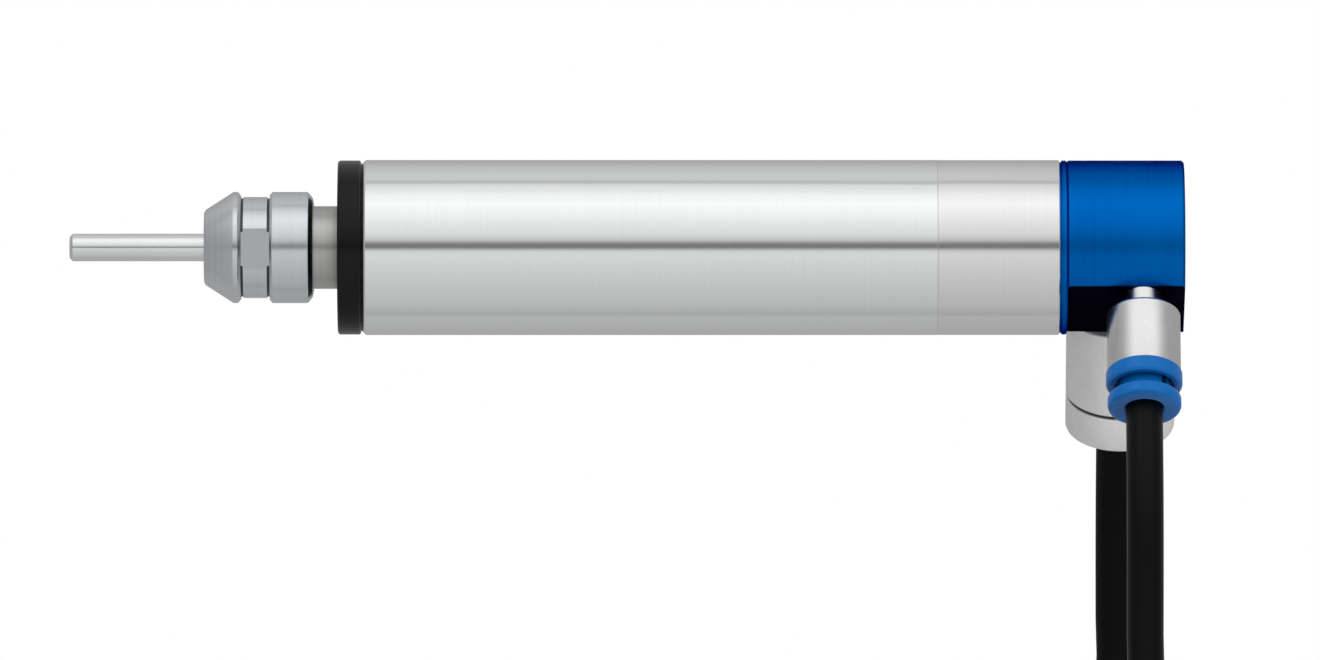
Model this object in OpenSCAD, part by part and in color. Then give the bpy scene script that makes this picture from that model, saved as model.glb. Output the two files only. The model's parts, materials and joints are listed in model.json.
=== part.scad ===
// High-speed motor spindle with a collet nose, a motor cord and an air line.
// X is the spindle axis: the tool is at the -X end, the block with the fittings at the +X end.
// The origin lies on the axis, at the middle of the cylinder that a clamp holds.
// The spindle is held by that cylinder, and its cord and hose hang down to a table.

/* [Housing] */
// Outside diameter of the housing, the front cap and the rear block
body_d = 19.05; // [18:0.05:24]
// How far the cap, the rear tube, the ring and the block lie under the clamp cylinder
relief = 0.05; // [0.02:0.01:0.2]
// Wall of the front tube round the bearings and the motor
housing_wall = 1.515; // [1.2:0.005:1.8]
// Length of the rear tube that shows
rear_tube_len = 13.42; // [13:0.02:20]
// Length of the rear tube's spigot inside the front tube
spigot_len = 4; // [2:0.5:6]
// Thickness of the front cap's disc
cap_t = 2.5; // [1.8:0.1:4]
// Length of the front cap's spigot inside the housing
cap_spigot_len = 3; // [2:0.5:6]
// Chamfer on the front edge of the housing
front_chamfer = 0.6; // [0.2:0.1:0.8]
// Chamfer on the other edges of the turned parts
edge_chamfer = 0.15; // [0.05:0.05:0.3]
// Chamfer on the rear tube's front edge, which parts it from the clamp cylinder
seam_chamfer = 0.4; // [0.38:0.02:0.6]
// Thickness of the rib that the front bearings stop against
rib_t = 2; // [1:0.5:4]
// Wall of the rear tube round the sliding bearing holder
rear_wall = 3.845; // [3.55:0.005:4.35]
// Thickness of the rear tube's end wall
end_wall_t = 3.6; // [3:0.1:6]

/* [Rear block] */
// Thickness of the blue ring in front of the block
ring_t = 0.7; // [0.6:0.02:2]
// Length of the block
block_len = 12.73; // [12.4:0.01:18]
// Depth of the two flats under the block
flat_depth = 1.545; // [1:0.005:2]
// Tilt of each flat from straight down
flat_tilt = 30; // [28:1:36]
// Wall of the block round its hollow
block_wall = 4.275; // [4:0.005:5]
// Depth of the hollow inside the block
cavity_depth = 8.5; // [8:0.5:9.5]

/* [Screws and leads] */
// Thread diameter of the three block screws
screw_d = 1.6; // [1.4:0.2:1.8]
// Depth of the screws' axes under the outside
screw_depth = 2.475; // [2.3:0.005:2.7]
// Diameter of a screw head
screw_head_d = 3; // [2.6:0.1:3.2]
// Height of a screw head
screw_head_h = 1.6; // [1.4:0.1:1.8]
// Depth of the screw threads in the end wall
screw_grip = 3; // [2:0.1:3]
// Width across flats of the screw sockets
screw_socket_w = 1.5; // [1.2:0.1:1.6]
// Diameter of one motor lead
lead_d = 1; // [0.8:0.1:1.1]
// Depth of the motor leads' axes under the outside
lead_depth = 2.675; // [2.6:0.005:2.9]

/* [Shaft] */
// Diameter of the shaft nose
nose_d = 9; // [8.6:0.1:9.4]
// How far the shaft stands out of the front tube, under the nut
nose_len = 14; // [12:0.5:16]
// Diameter of the blind hole behind the collet
tool_hole_d = 3.3; // [3.2:0.1:3.6]
// Depth of that hole behind the front bearing's face
tool_hole_depth = 7; // [2:1:12]
// Thickness of the nut that holds the front bearings
front_shaft_nut_t = 2; // [1.5:0.1:2.4]
// Thickness of the nut that holds the rear bearing
rear_shaft_nut_t = 1.7; // [1.2:0.1:1.8]

/* [Bearings] */
// Width of a front bearing
front_bearing_w = 5; // [4:0.5:6]
// Ball diameter in the front bearings
front_ball_d = 2; // [1.8:0.1:2.2]
// Number of balls in a front bearing
front_ball_count = 11; // [8:1:13]
// Distance between the two front bearings
bearing_spacing = 2; // [1:0.5:4]
// Height of the rear bearing from its bore to its outside
rear_bearing_h = 2.5; // [2.3:0.05:2.8]
// Width of the rear bearing
rear_bearing_w = 4; // [3:0.5:4.5]
// Ball diameter in the rear bearing
rear_ball_d = 1.588; // [1.4:0.004:1.7]
// Number of balls in the rear bearing
rear_ball_count = 7; // [5:1:8]
// Wall of the sliding holder of the rear bearing
holder_wall = 1.1; // [0.9:0.05:1.4]
// Length of that holder
holder_len = 10; // [8:0.5:11]
// Thickness of the holder's rear lip
holder_lip_t = 2; // [1.5:0.1:2.5]
// Thickness of one disc spring
disc_spring_t = 0.4; // [0.3:0.05:0.6]
// Free height of one disc spring
disc_spring_h = 1; // [0.8:0.05:1.2]

/* [Motor] */
// Distance from the rib to the rotor
rotor_gap = 2; // [1:0.5:4]
// Thickness of each balancing ring
balance_t = 2; // [1:0.5:3]
// Length of the magnet
magnet_len = 28; // [24:1:30]
// Wall of the magnet round the shaft
magnet_wall = 1; // [0.8:0.05:1.2]
// Wall of the sleeve round the magnet
sleeve_wall = 0.3; // [0.2:0.05:0.4]
// Gap between rotor and winding
air_gap = 0.4; // [0.3:0.05:0.5]
// Wall of the winding
winding_wall = 0.9; // [0.7:0.1:1.1]
// How far the winding reaches past the core at each end
winding_overhang = 2.5; // [1.5:0.5:3]
// Wall of the stator core
core_wall = 1.4; // [1.2:0.05:1.8]
// Length of the stator core
core_len = 24; // [20:1:24]
// Thickness of the sensor board
board_t = 1; // [0.8:0.1:1.6]
// Height of a sensor on the board
sensor_h = 0.9; // [0.6:0.1:1.2]
// Gap between the turning rotor and the sensors
sensor_gap = 0.25; // [0.15:0.05:0.5]
// Room for the leads between the board and the rear tube
lead_room = 5.55; // [4:0.05:20]

/* [Collet and nut] */
// Diameter of the tool shank
tool_d = 3; // [2.8:0.05:3.1]
// Length of the tool shank
tool_len = 36; // [34:0.5:50]
// How far the shank stands out of the nut
tool_out = 14.65; // [12:0.05:16]
// Chamfer at the ends of the shank
tool_chamfer = 0.4; // [0.1:0.1:0.6]
// Largest diameter of the collet
collet_d = 6.9; // [6.6:0.1:7.2]
// Half angle of the collet's long taper
collet_half_angle = 8; // [7:0.5:9]
// Length of the collet's long taper
collet_taper_len = 9; // [8:0.5:10]
// Length of the plain tail of the collet
collet_tail_len = 1.8; // [1:0.2:2]
// Length of the collet's short front cone
collet_cone_len = 1; // [0.8:0.1:1.2]
// Diameter of the collet's nose
collet_nose_d = 5.5; // [5:0.1:5.8]
// Length of the collet's nose
collet_nose_len = 1.5; // [1:0.1:1.7]
// Width of the collet's slots
collet_slot_w = 0.5; // [0.3:0.1:0.8]
// Diameter of the nut's two collars
nut_d = 12.1; // [11.8:0.1:12.6]
// Diameter of the nut's nose face
nut_nose_d = 8.1; // [7.2:0.1:9]
// Length of the nut
nut_len = 11.97; // [11.5:0.01:12.5]
// Gap between the nut and the front cap
nut_gap = 2.6; // [2:0.1:4]
// Length of the nut's nose cone
nut_cone_len = 3.34; // [3:0.02:4]
// Diameter of the nut between its collars
nut_waist_d = 11; // [10.6:0.1:11.4]
// Width across the nut's wrench flats
nut_flats_w = 10.05; // [9.8:0.05:10.4]
// Turn of the nut's two wrench flats from upright
nut_flats_turn = 92; // [0:1:180]
// Distance from the nose face to the waist
nut_waist_start = 4.26; // [4.2:0.02:5]
// Length of the waist
nut_waist_len = 2.64; // [2:0.02:3]

/* [Cord gland] */
// Diameter of the gland
gland_d = 11.9; // [11.4:0.1:12.2]
// Distance of the gland behind the block's front face
gland_pos = 6; // [6:0.05:6.2]
// Length of the gland's body outside its gasket
gland_body_len = 9.95; // [9:0.05:12]
// Length of the gland's nut
gland_nut_len = 4.3; // [3.5:0.1:6]
// Thickness of the gland's gasket
gland_gasket_t = 0.3; // [0.2:0.1:0.6]
// Diameter of the gland's thread in the block
gland_thread_d = 7; // [6.6:0.1:7.4]
// Length of that thread
gland_thread_len = 2.6; // [2:0.1:2.6]
// Length of the nut's thread inside the body
gland_nut_thread_len = 2.8; // [2:0.1:3.4]
// Length of the rubber seal in the gland
gland_seal_len = 4.4; // [3:0.1:4.6]

/* [Air fitting] */
// Diameter of the air fitting's metal body
fitting_d = 8; // [7.4:0.1:8.4]
// Distance of the air fitting behind the block's front face
fitting_pos = 8.18; // [7.6:0.02:8.2]
// Offset of the air fitting towards the outer edge of its flat
fitting_offset = 3.4; // [3:0.1:3.6]
// Thread diameter of the air fitting
fitting_thread_d = 3; // [2.6:0.1:3.2]
// Length of its thread in the block
fitting_thread_len = 3; // [2:0.1:3.2]
// Diameter of the neck above the thread
neck_d = 3.7; // [3.5:0.1:4]
// Length of the neck with its gasket
neck_len = 2.4; // [2:0.1:4]
// Thickness of the gasket under the neck
neck_gasket_t = 0.35; // [0.2:0.05:0.5]
// Length of the metal body
fitting_body_len = 7.44; // [7.2:0.02:10]
// Diameter of the blue guide ring
guide_d = 8.3; // [8:0.1:9]
// Thickness of the guide ring
guide_t = 1.75; // [1.2:0.05:2.5]
// Travel of the release sleeve
release_travel = 1; // [0.6:0.1:1.1]
// Diameter of the release sleeve's collar
release_d = 8; // [7.4:0.1:8.4]
// Thickness of the release sleeve's collar
release_t = 1.5; // [1:0.1:2]
// Outside diameter of the release sleeve's barrel
barrel_d = 5.6; // [5.4:0.1:5.8]

/* [Cord and hose] */
// Diameter of the motor cord
cord_d = 5; // [4.6:0.1:5.1]
// Diameter of the air hose
hose_d = 4; // [3.8:0.1:4.05]
// Bore of the air hose
hose_bore_d = 2.5; // [2:0.1:2.8]
// Radius of the cord coil at the middle of its turns
cord_coil_r = 25.2; // [24:0.1:26]
// Radius of the hose coil at the middle of its turns
hose_coil_r = 20.6; // [20:0.1:22]
// Width of the straps round the coils
strap_w = 8; // [6:1:12]
// Thickness of the straps
strap_t = 0.6; // [0.4:0.1:0.8]

/* [Cord connector] */
// Diameter of the connector's coupling ring
coupling_d = 14; // [13:0.2:14]
// Length of the coupling ring
coupling_len = 14; // [12:1:16]
// Diameter of the connector's shell
shell_d = 11; // [10.4:0.1:12]
// Length of the shell that shows behind the ring
shell_len = 14.6; // [12:0.1:16]
// Length of the strain relief
boot_len = 12; // [10:1:14]
// Diameter of the insert that holds the contacts
insert_d = 9.7; // [9:0.1:10]
// Diameter of one contact
contact_d = 1.1; // [0.8:0.1:1.4]
// Number of contacts on the circle
contact_count = 6; // [4:1:7]

/* [Hidden] */

$fn = 96;

// Clearances: a seat is a fixed joint, a running fit moves, a race holds balls
seat = 0.01;
running = 0.03;
race = 0.03;
sliding = 0.05;
air = 0.15;
past = 1;

// Radii from the outside of the housing in to the shaft
body_r = body_d / 2;
back_r = body_r - relief;
housing_bore_r = body_r - housing_wall;
front_bearing_r = housing_bore_r - seat;
core_r = front_bearing_r - core_wall;
winding_r = core_r - winding_wall;
rotor_r = winding_r - air_gap;
magnet_r = rotor_r - sleeve_wall;
front_bore_r = magnet_r - magnet_wall;

// Radii from the outside of the rear tube and block in to the shaft
holder_bore_r = back_r - rear_wall;
holder_r = holder_bore_r - running;
rear_bearing_r = holder_r - holder_wall;
rear_bore_r = rear_bearing_r - rear_bearing_h;
cavity_r = back_r - block_wall;
screw_circle_r = back_r - screw_depth;
lead_circle_r = back_r - lead_depth;
flat_dist = back_r - flat_depth;

// Other radii that several parts share
nose_r = nose_d / 2;
tool_r = tool_d / 2;
cord_hole_r = cord_d / 2 + 0.1;
hose_hole_r = hose_d / 2 + sliding;

// Length of the front tube, from what it holds: both bearings, the rotor and the board
rotor_start = cap_spigot_len + 2 * front_bearing_w + bearing_spacing
    + max(rib_t, front_shaft_nut_t) + rotor_gap;
board_start = rotor_start + balance_t + sensor_gap + sensor_h
    + max(magnet_len + balance_t, (magnet_len + core_len) / 2 + winding_overhang);
front_tube_len = board_start + board_t + lead_room + spigot_len;

// Stations along X, from the tool to the rear
x_front = -(front_chamfer + front_tube_len - edge_chamfer) / 2;
x_cap = x_front - cap_t;
x_nut_rear = x_cap - nut_gap;
x_nut_face = x_nut_rear - nut_len;
x_nose = x_front - nose_len;
x_tool = x_nut_face - tool_out;
x_bearing_1 = x_front + cap_spigot_len;
x_spacer = x_bearing_1 + front_bearing_w;
x_bearing_2 = x_spacer + bearing_spacing;
x_rib = x_bearing_2 + front_bearing_w;
x_rotor = x_front + rotor_start;
x_magnet = x_rotor + balance_t;
x_magnet_end = x_magnet + magnet_len;
x_core = x_magnet + (magnet_len - core_len) / 2;
x_winding = x_core - winding_overhang;
x_winding_end = x_core + core_len + winding_overhang;
x_seam = x_front + front_tube_len;
x_spigot = x_seam - spigot_len;
x_board = x_front + board_start;
x_tube_end = x_seam + rear_tube_len;
x_end_wall = x_tube_end - end_wall_t;
x_holder_end = x_end_wall - 2 * disc_spring_h;
x_holder = x_holder_end - holder_len;
x_rear_bearing_end = x_holder_end - holder_lip_t;
x_rear_bearing = x_rear_bearing_end - rear_bearing_w;
x_shaft_end = x_rear_bearing_end + rear_shaft_nut_t;
x_block = x_tube_end + ring_t;
x_end = x_block + block_len;
x_gland = x_block + gland_pos;
x_fitting = x_block + fitting_pos;

// Collet cones, which the shaft and the nut repeat with a clearance
collet_r = collet_d / 2;
collet_nose_r = collet_nose_d / 2;
x_collet_wide = x_nose - 0.3;
x_collet_tail = x_collet_wide + collet_taper_len;
x_collet_end = x_collet_tail + collet_tail_len;
x_collet_cone = x_collet_wide - collet_cone_len;
x_collet_nose = x_collet_cone - collet_nose_len;
collet_tail_r = collet_r - collet_taper_len * tan(collet_half_angle);
cone_fit = 0.02;

// Angles round the axis, from +Y towards +Z
screw_angles = [10, 90, 170];
lead_angles = [50, 130, 210];
vent_angles = [250, 290];
lead_hole_r = lead_d / 2 + air;
lead_drop = 2;

// Air fitting stations, measured from its flat
t_body = neck_len;
t_body_end = t_body + fitting_body_len;
t_guide_end = t_body_end + guide_t;
t_release = t_guide_end + release_travel + 0.2;
t_end = t_release + release_t;
t_hose = t_body + 2.1;
t_seal = t_hose + 0.9;
t_claw = t_seal + 1.6;
t_barrel = t_claw + release_travel + 1.05;
claw_r = fitting_d / 2 - 0.65;
guide_spigot_r = claw_r - 0.02;
t_guide_spigot = t_claw + 0.8;

// Table that the coils lie on, and the coils, whose turns are a little over a diameter apart
table_z = -85;
columns = 3;
layers = 4;
turn_gap = 0.3;
cord_pitch = cord_d + turn_gap;
hose_pitch = hose_d + turn_gap;
cord_coil_out = cord_coil_r + (columns - 1) / 2 * cord_pitch;
hose_coil_out = hose_coil_r + (columns - 1) / 2 * hose_pitch;
cord_y = 3.1;
hose_y = -6.9;
coil_x = 14;
cord_coil_y = cord_y + cord_coil_out;
hose_coil_y = hose_y - hose_coil_out;

// Route of the motor cord from the block's hollow down to the top layer of its coil
cord_route = [
    [51.2, 2.2, -3.8], [51.2, 5.0, -8.7], [51.2, 8.0, -13.9], [51.2, 11.2, -19.4],
    [51.2, 12.7, -22.0], [51.2, 14.6, -26.0], [51.2, 15.7, -30.3], [51.2, 16.1, -34.6],
    [51.2, 15.7, -40.6], [51.2, 14.8, -46.6], [49.7, 12.8, -54.3], [45.3, 10.4, -60.7],
    [38.9, 7.9, -65.1], [32.6, 6.1, -66.6]];
// Route from the bottom layer of that coil into the connector
tail_route = [
    [1.4, 3.1, -82.5], [-3.0, 3.1, -82.5], [-8.0, 3.1, -81.9], [-12.0, 3.1, -80.5],
    [-16.0, 3.1, -78.9], [-20.0, 3.1, -78.1], [-24.0, 3.1, -78.0], [-33.0, 3.1, -78.0]];
// Route of the air hose from the fitting down to the top layer of its coil
hose_route = [
    [53.4, -9.2, -9.1], [53.4, -11.4, -13.0], [53.4, -14.1, -17.6], [53.4, -15.6, -20.2],
    [53.4, -17.4, -24.1], [53.4, -18.5, -28.3], [53.4, -18.9, -32.6], [53.4, -18.3, -42.0],
    [53.4, -16.6, -52.1], [52.0, -14.9, -59.0], [48.1, -13.2, -64.8], [42.3, -11.3, -68.7],
    [35.4, -9.6, -70.1], [27.0, -8.1, -70.1]];
// The hose's cut end lies straight on the table
hose_tail_start = 3.8;
hose_tail_end = -52;

// Connector on the cord's end, lying on its coupling ring, with its axis along X
plug_y = 3.1;
plug_z = table_z + coupling_d / 2;
x_boot = -20;
x_shell = x_boot - boot_len;
x_ring = x_shell - shell_len;
x_ring_end = x_ring - coupling_len;
ring_flange_t = 4;
shell_spigot_r = insert_d / 2;

// A turned part: a list of [radius, x] points spun round the X axis
module turned(points) {
    rotate([0, 90, 0])
        rotate_extrude()
            polygon(points);
}

// A plain tube along X
module tube(x1, x2, outer_r, inner_r) {
    turned([[inner_r, x1], [outer_r, x1], [outer_r, x2], [inner_r, x2]]);
}

// A tube along X with chamfers on its outer edges
module edged_tube(x1, x2, outer_r, inner_r, c1, c2) {
    turned([[inner_r, x1], [outer_r - c1, x1], [outer_r, x1 + c1],
            [outer_r, x2 - c2], [outer_r - c2, x2], [inner_r, x2]]);
}

// A rod along X
module rod(x1, x2, r) {
    translate([x1, 0, 0])
        rotate([0, 90, 0])
            cylinder(h = x2 - x1, r = r);
}

// The children placed at a radius and an angle round the X axis
module around(angle, radius) {
    rotate([angle, 0, 0])
        translate([0, radius, 0])
            children();
}

// The children on one of the block's flats, with +Z pointing out of it
module on_gland_flat() {
    translate([x_gland, 0, 0])
        rotate([180 + flat_tilt, 0, 0])
            translate([0, 0, flat_dist])
                children();
}
module on_air_flat() {
    translate([x_fitting, 0, 0])
        rotate([180 - flat_tilt, 0, 0])
            translate([0, fitting_offset, flat_dist])
                children();
}

// A turned part standing on a flat: a list of [radius, height] points
module standing(points) {
    rotate_extrude()
        polygon(points);
}

// Holes along X on the circle of the leads
module lead_holes(x1, x2, angles) {
    for (angle = angles)
        around(angle, lead_circle_r)
            rod(x1, x2, lead_hole_r);
}

// Rolling bearing parts: pitch radius, and the lands each side of the balls
function pitch_r(bore_r, outer_r) = (bore_r + outer_r) / 2;

module bearing_ring(x, w, inner_r, outer_r, pitch, ball_r) {
    difference() {
        tube(x, x + w, outer_r, inner_r);
        translate([x + w / 2, 0, 0])
            rotate([0, 90, 0])
                rotate_extrude()
                    translate([pitch, 0])
                        circle(r = ball_r + race, $fn = 48);
    }
}

module inner_ring(x, w, bore_r, outer_r, ball_r) {
    pitch = pitch_r(bore_r, outer_r);
    bearing_ring(x, w, bore_r + seat, pitch - 0.65 * ball_r, pitch, ball_r);
}

module outer_ring(x, w, bore_r, outer_r, ball_r) {
    pitch = pitch_r(bore_r, outer_r);
    bearing_ring(x, w, pitch + 0.65 * ball_r, outer_r, pitch, ball_r);
}

module balls(x, w, bore_r, outer_r, ball_r, count) {
    for (i = [0 : count - 1])
        around(i * 360 / count, pitch_r(bore_r, outer_r))
            translate([x + w / 2, 0, 0])
                sphere(r = ball_r, $fn = 32);
}

module cage(x, w, bore_r, outer_r, ball_r, count) {
    pitch = pitch_r(bore_r, outer_r);
    half_wall = 0.5 * ball_r;
    half_w = 1.3 * ball_r;
    difference() {
        tube(x + w / 2 - half_w, x + w / 2 + half_w, pitch + half_wall, pitch - half_wall);
        for (i = [0 : count - 1])
            around(i * 360 / count, pitch)
                translate([x + w / 2, 0, 0])
                    rotate([90, 0, 0])
                        cylinder(h = 2.4 * ball_r, r = ball_r + sliding, center = true, $fn = 32);
    }
}

// Cords: rings of points swept along a route, turned as little as possible from ring to ring
function unit(v) = v / norm(v);
function tangent(p, i) = unit(p[min(i + 1, len(p) - 1)] - p[max(i - 1, 0)]);
function across(v, t) = unit(v - (v * t) * t);
function normals(p, i, last) =
    i == len(p) ? [] :
    let (n = across(last, tangent(p, i)))
    concat([n], normals(p, i + 1, n));
function ring_points(c, t, n, r, sides) =
    [for (k = [0 : sides - 1]) c + r * (cos(k * 360 / sides) * n
        + sin(k * 360 / sides) * cross(t, n))];

module swept(route, d, sides) {
    side_normals = normals(route, 0, [0, 1, 0.3]);
    rings = [for (i = [0 : len(route) - 1])
        ring_points(route[i], tangent(route, i), side_normals[i], d / 2, sides)];
    points = [for (ring = rings) for (point = ring) point];
    last = (len(route) - 1) * sides;
    walls = [for (i = [0 : len(route) - 2]) for (k = [0 : sides - 1])
        let (a = i * sides + k, b = i * sides + (k + 1) % sides)
        each [[a, b, a + sides], [b, b + sides, a + sides]]];
    start_cap = [[for (k = [0 : sides - 1]) sides - 1 - k]];
    end_cap = [[for (k = [0 : sides - 1]) last + k]];
    polyhedron(points = points, faces = [for (f = concat(walls, start_cap, end_cap))
        [for (k = [len(f) - 1 : -1 : 0]) f[k]]]);
}

// The closed outer shape of a coil on the table, with a step where its strap pulls it in
module coil(y, r, d, pitch) {
    half = (columns - 1) / 2 * pitch + d / 2;
    height = (layers - 1) * pitch + d;
    corner = 0.3 * d;
    difference() {
        translate([coil_x, y, table_z])
            rotate_extrude()
                polygon([[r - half + corner, 0], [r + half - corner, 0], [r + half, corner],
                    [r + half, height - corner], [r + half - corner, height],
                    [r - half + corner, height], [r - half, height - corner],
                    [r - half, corner]]);
        strap(y, r, d, pitch, seat, past);
    }
}

// A strap round the coil's section, flush with the coil's outside, on the coil's +X side.
// As a cut it is wider by the gap and reaches past the coil's outside by grow.
module strap(y, r, d, pitch, gap, grow) {
    half = (columns - 1) / 2 * pitch + d / 2;
    height = (layers - 1) * pitch + d;
    inner_half = half - strap_t - gap;
    difference() {
        translate([coil_x + r - half - grow, y - strap_w / 2 - gap, table_z - grow])
            cube([2 * (half + grow), strap_w + 2 * gap, height + 2 * grow]);
        translate([coil_x + r - inner_half, y - strap_w, table_z + strap_t + gap])
            cube([2 * inner_half, 2 * strap_w, height - 2 * (strap_t + gap)]);
    }
}

// A turned part on the connector's axis: a list of [radius, x] points
module plug_turned(points) {
    translate([0, plug_y, plug_z])
        turned(points);
}

module tool_shank() {
    color("silver")
        edged_tube(x_tool, x_tool + tool_len, tool_r, 0, tool_chamfer, tool_chamfer);
}

module collet() {
    color("slategray")
        difference() {
            turned([[tool_r + running / 2, x_collet_nose], [collet_nose_r, x_collet_nose],
                    [collet_nose_r, x_collet_cone], [collet_r, x_collet_wide],
                    [collet_tail_r, x_collet_tail], [collet_tail_r, x_collet_end],
                    [tool_r + running / 2, x_collet_end]]);
            for (i = [0 : 2]) {
                around(i * 120, 0)
                    translate([x_collet_nose - past, 0, -collet_slot_w / 2])
                        cube([x_collet_tail - x_collet_nose, collet_r + past, collet_slot_w]);
                around(i * 120 + 60, 0)
                    translate([x_collet_cone + collet_slot_w * 2, 0, -collet_slot_w / 2])
                        cube([x_collet_end - x_collet_cone, collet_r + past, collet_slot_w]);
            }
        }
}

module collet_nut() {
    nut_r = nut_d / 2;
    waist_r = nut_waist_d / 2;
    nose_edge = 0.25;
    chamfer = nut_r - waist_r;
    x_waist = x_nut_face + nut_waist_start;
    x_waist_end = x_waist + nut_waist_len;
    rear_chamfer = 0.5;
    rear_lip = 0.15;
    thread_r = nose_r + running;
    color("lightsteelblue")
        difference() {
            turned([[collet_nose_r + cone_fit, x_nut_face], [nut_nose_d / 2 - nose_edge, x_nut_face],
                    [nut_nose_d / 2, x_nut_face + nose_edge / 2],
                    [nut_r, x_nut_face + nut_cone_len],
                    [nut_r, x_waist - chamfer], [waist_r, x_waist],
                    [waist_r, x_waist_end], [nut_r, x_waist_end + chamfer],
                    [nut_r, x_nut_rear - rear_chamfer - rear_lip],
                    [(nut_r + thread_r) / 2, x_nut_rear - rear_lip],
                    [thread_r + rear_lip, x_nut_rear], [thread_r, x_nut_rear],
                    [thread_r, x_collet_wide + cone_fit],
                    [collet_r + cone_fit, x_collet_wide + cone_fit],
                    [collet_r + cone_fit, x_collet_wide],
                    [collet_nose_r + cone_fit, x_collet_cone]]);
            for (angle = [nut_flats_turn, nut_flats_turn + 180])
                rotate([angle, 0, 0])
                    translate([x_waist - chamfer, -nut_r, nut_flats_w / 2])
                        cube([nut_waist_len + chamfer, nut_d, nut_r]);
        }
}

module spindle_shaft() {
    mouth_r = collet_r - (x_nose - x_collet_wide) * tan(collet_half_angle);
    color("lightgray")
        turned([[mouth_r + cone_fit, x_nose], [nose_r, x_nose], [nose_r, x_bearing_1],
                [front_bore_r, x_bearing_1], [front_bore_r, x_rear_bearing],
                [rear_bore_r, x_rear_bearing], [rear_bore_r, x_shaft_end], [0, x_shaft_end],
                [0, x_bearing_1 + tool_hole_depth],
                [tool_hole_d / 2, x_bearing_1 + tool_hole_depth],
                [tool_hole_d / 2, x_collet_end + air], [collet_tail_r + cone_fit, x_collet_end + air],
                [collet_tail_r + cone_fit, x_collet_tail]]);
}

module front_shaft_nut() {
    color("dimgray")
        tube(x_rib, x_rib + front_shaft_nut_t, front_bore_r + 1.6, front_bore_r + seat);
}

module rear_shaft_nut() {
    color("dimgray")
        tube(x_rear_bearing_end, x_shaft_end, rear_bore_r + 1, rear_bore_r + seat);
}

module inner_spacer() {
    color("gainsboro")
        tube(x_spacer, x_bearing_2, front_bore_r + 1, front_bore_r + seat);
}

module rotor_magnet() {
    color("dimgray")
        tube(x_magnet, x_magnet_end, magnet_r, front_bore_r + seat);
}

module rotor_sleeve() {
    color("silver")
        tube(x_magnet, x_magnet_end, rotor_r, magnet_r + seat);
}

module balance_ring(x) {
    color("goldenrod")
        tube(x, x + balance_t, rotor_r, front_bore_r + seat);
}

module front_balance_ring() {
    balance_ring(x_rotor);
}

module rear_balance_ring() {
    balance_ring(x_magnet_end);
}

module front_inner_ring() {
    color("silver")
        inner_ring(x_bearing_1, front_bearing_w, front_bore_r, front_bearing_r, front_ball_d / 2);
}

module second_inner_ring() {
    color("silver")
        inner_ring(x_bearing_2, front_bearing_w, front_bore_r, front_bearing_r, front_ball_d / 2);
}

module rear_inner_ring() {
    color("silver")
        inner_ring(x_rear_bearing, rear_bearing_w, rear_bore_r, rear_bearing_r, rear_ball_d / 2);
}

module front_balls() {
    color("white")
        balls(x_bearing_1, front_bearing_w, front_bore_r, front_bearing_r,
              front_ball_d / 2, front_ball_count);
}

module second_balls() {
    color("white")
        balls(x_bearing_2, front_bearing_w, front_bore_r, front_bearing_r,
              front_ball_d / 2, front_ball_count);
}

module rear_balls() {
    color("white")
        balls(x_rear_bearing, rear_bearing_w, rear_bore_r, rear_bearing_r,
              rear_ball_d / 2, rear_ball_count);
}

module front_cage() {
    color("peru")
        cage(x_bearing_1, front_bearing_w, front_bore_r, front_bearing_r,
             front_ball_d / 2, front_ball_count);
}

module second_cage() {
    color("peru")
        cage(x_bearing_2, front_bearing_w, front_bore_r, front_bearing_r,
             front_ball_d / 2, front_ball_count);
}

module rear_cage() {
    color("peru")
        cage(x_rear_bearing, rear_bearing_w, rear_bore_r, rear_bearing_r,
             rear_ball_d / 2, rear_ball_count);
}

module front_outer_ring() {
    color("silver")
        outer_ring(x_bearing_1, front_bearing_w, front_bore_r, front_bearing_r, front_ball_d / 2);
}

module second_outer_ring() {
    color("silver")
        outer_ring(x_bearing_2, front_bearing_w, front_bore_r, front_bearing_r, front_ball_d / 2);
}

module rear_outer_ring() {
    color("silver")
        outer_ring(x_rear_bearing, rear_bearing_w, rear_bore_r, rear_bearing_r, rear_ball_d / 2);
}

module outer_spacer() {
    color("gainsboro")
        tube(x_spacer, x_bearing_2, front_bearing_r, front_bearing_r - 1.2);
}

module front_cap() {
    spigot_r = front_bearing_r;
    shaft_hole_r = nose_r + air;
    relief_r = spigot_r - 1.3;
    color("black")
        turned([[shaft_hole_r, x_cap], [back_r - edge_chamfer, x_cap],
                [back_r, x_cap + edge_chamfer], [back_r, x_front - edge_chamfer],
                [back_r - edge_chamfer, x_front], [spigot_r, x_front], [spigot_r, x_bearing_1],
                [relief_r, x_bearing_1], [relief_r, x_front + 0.5], [shaft_hole_r, x_front + 0.5]]);
}

module front_housing() {
    rib_r = front_bearing_r - 0.8;
    color("silver")
        turned([[housing_bore_r, x_front], [body_r - front_chamfer, x_front],
                [body_r, x_front + front_chamfer], [body_r, x_seam - edge_chamfer],
                [body_r - edge_chamfer, x_seam], [housing_bore_r, x_seam],
                [housing_bore_r, x_rib + rib_t], [rib_r, x_rib + rib_t], [rib_r, x_rib],
                [housing_bore_r, x_rib]]);
}

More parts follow.
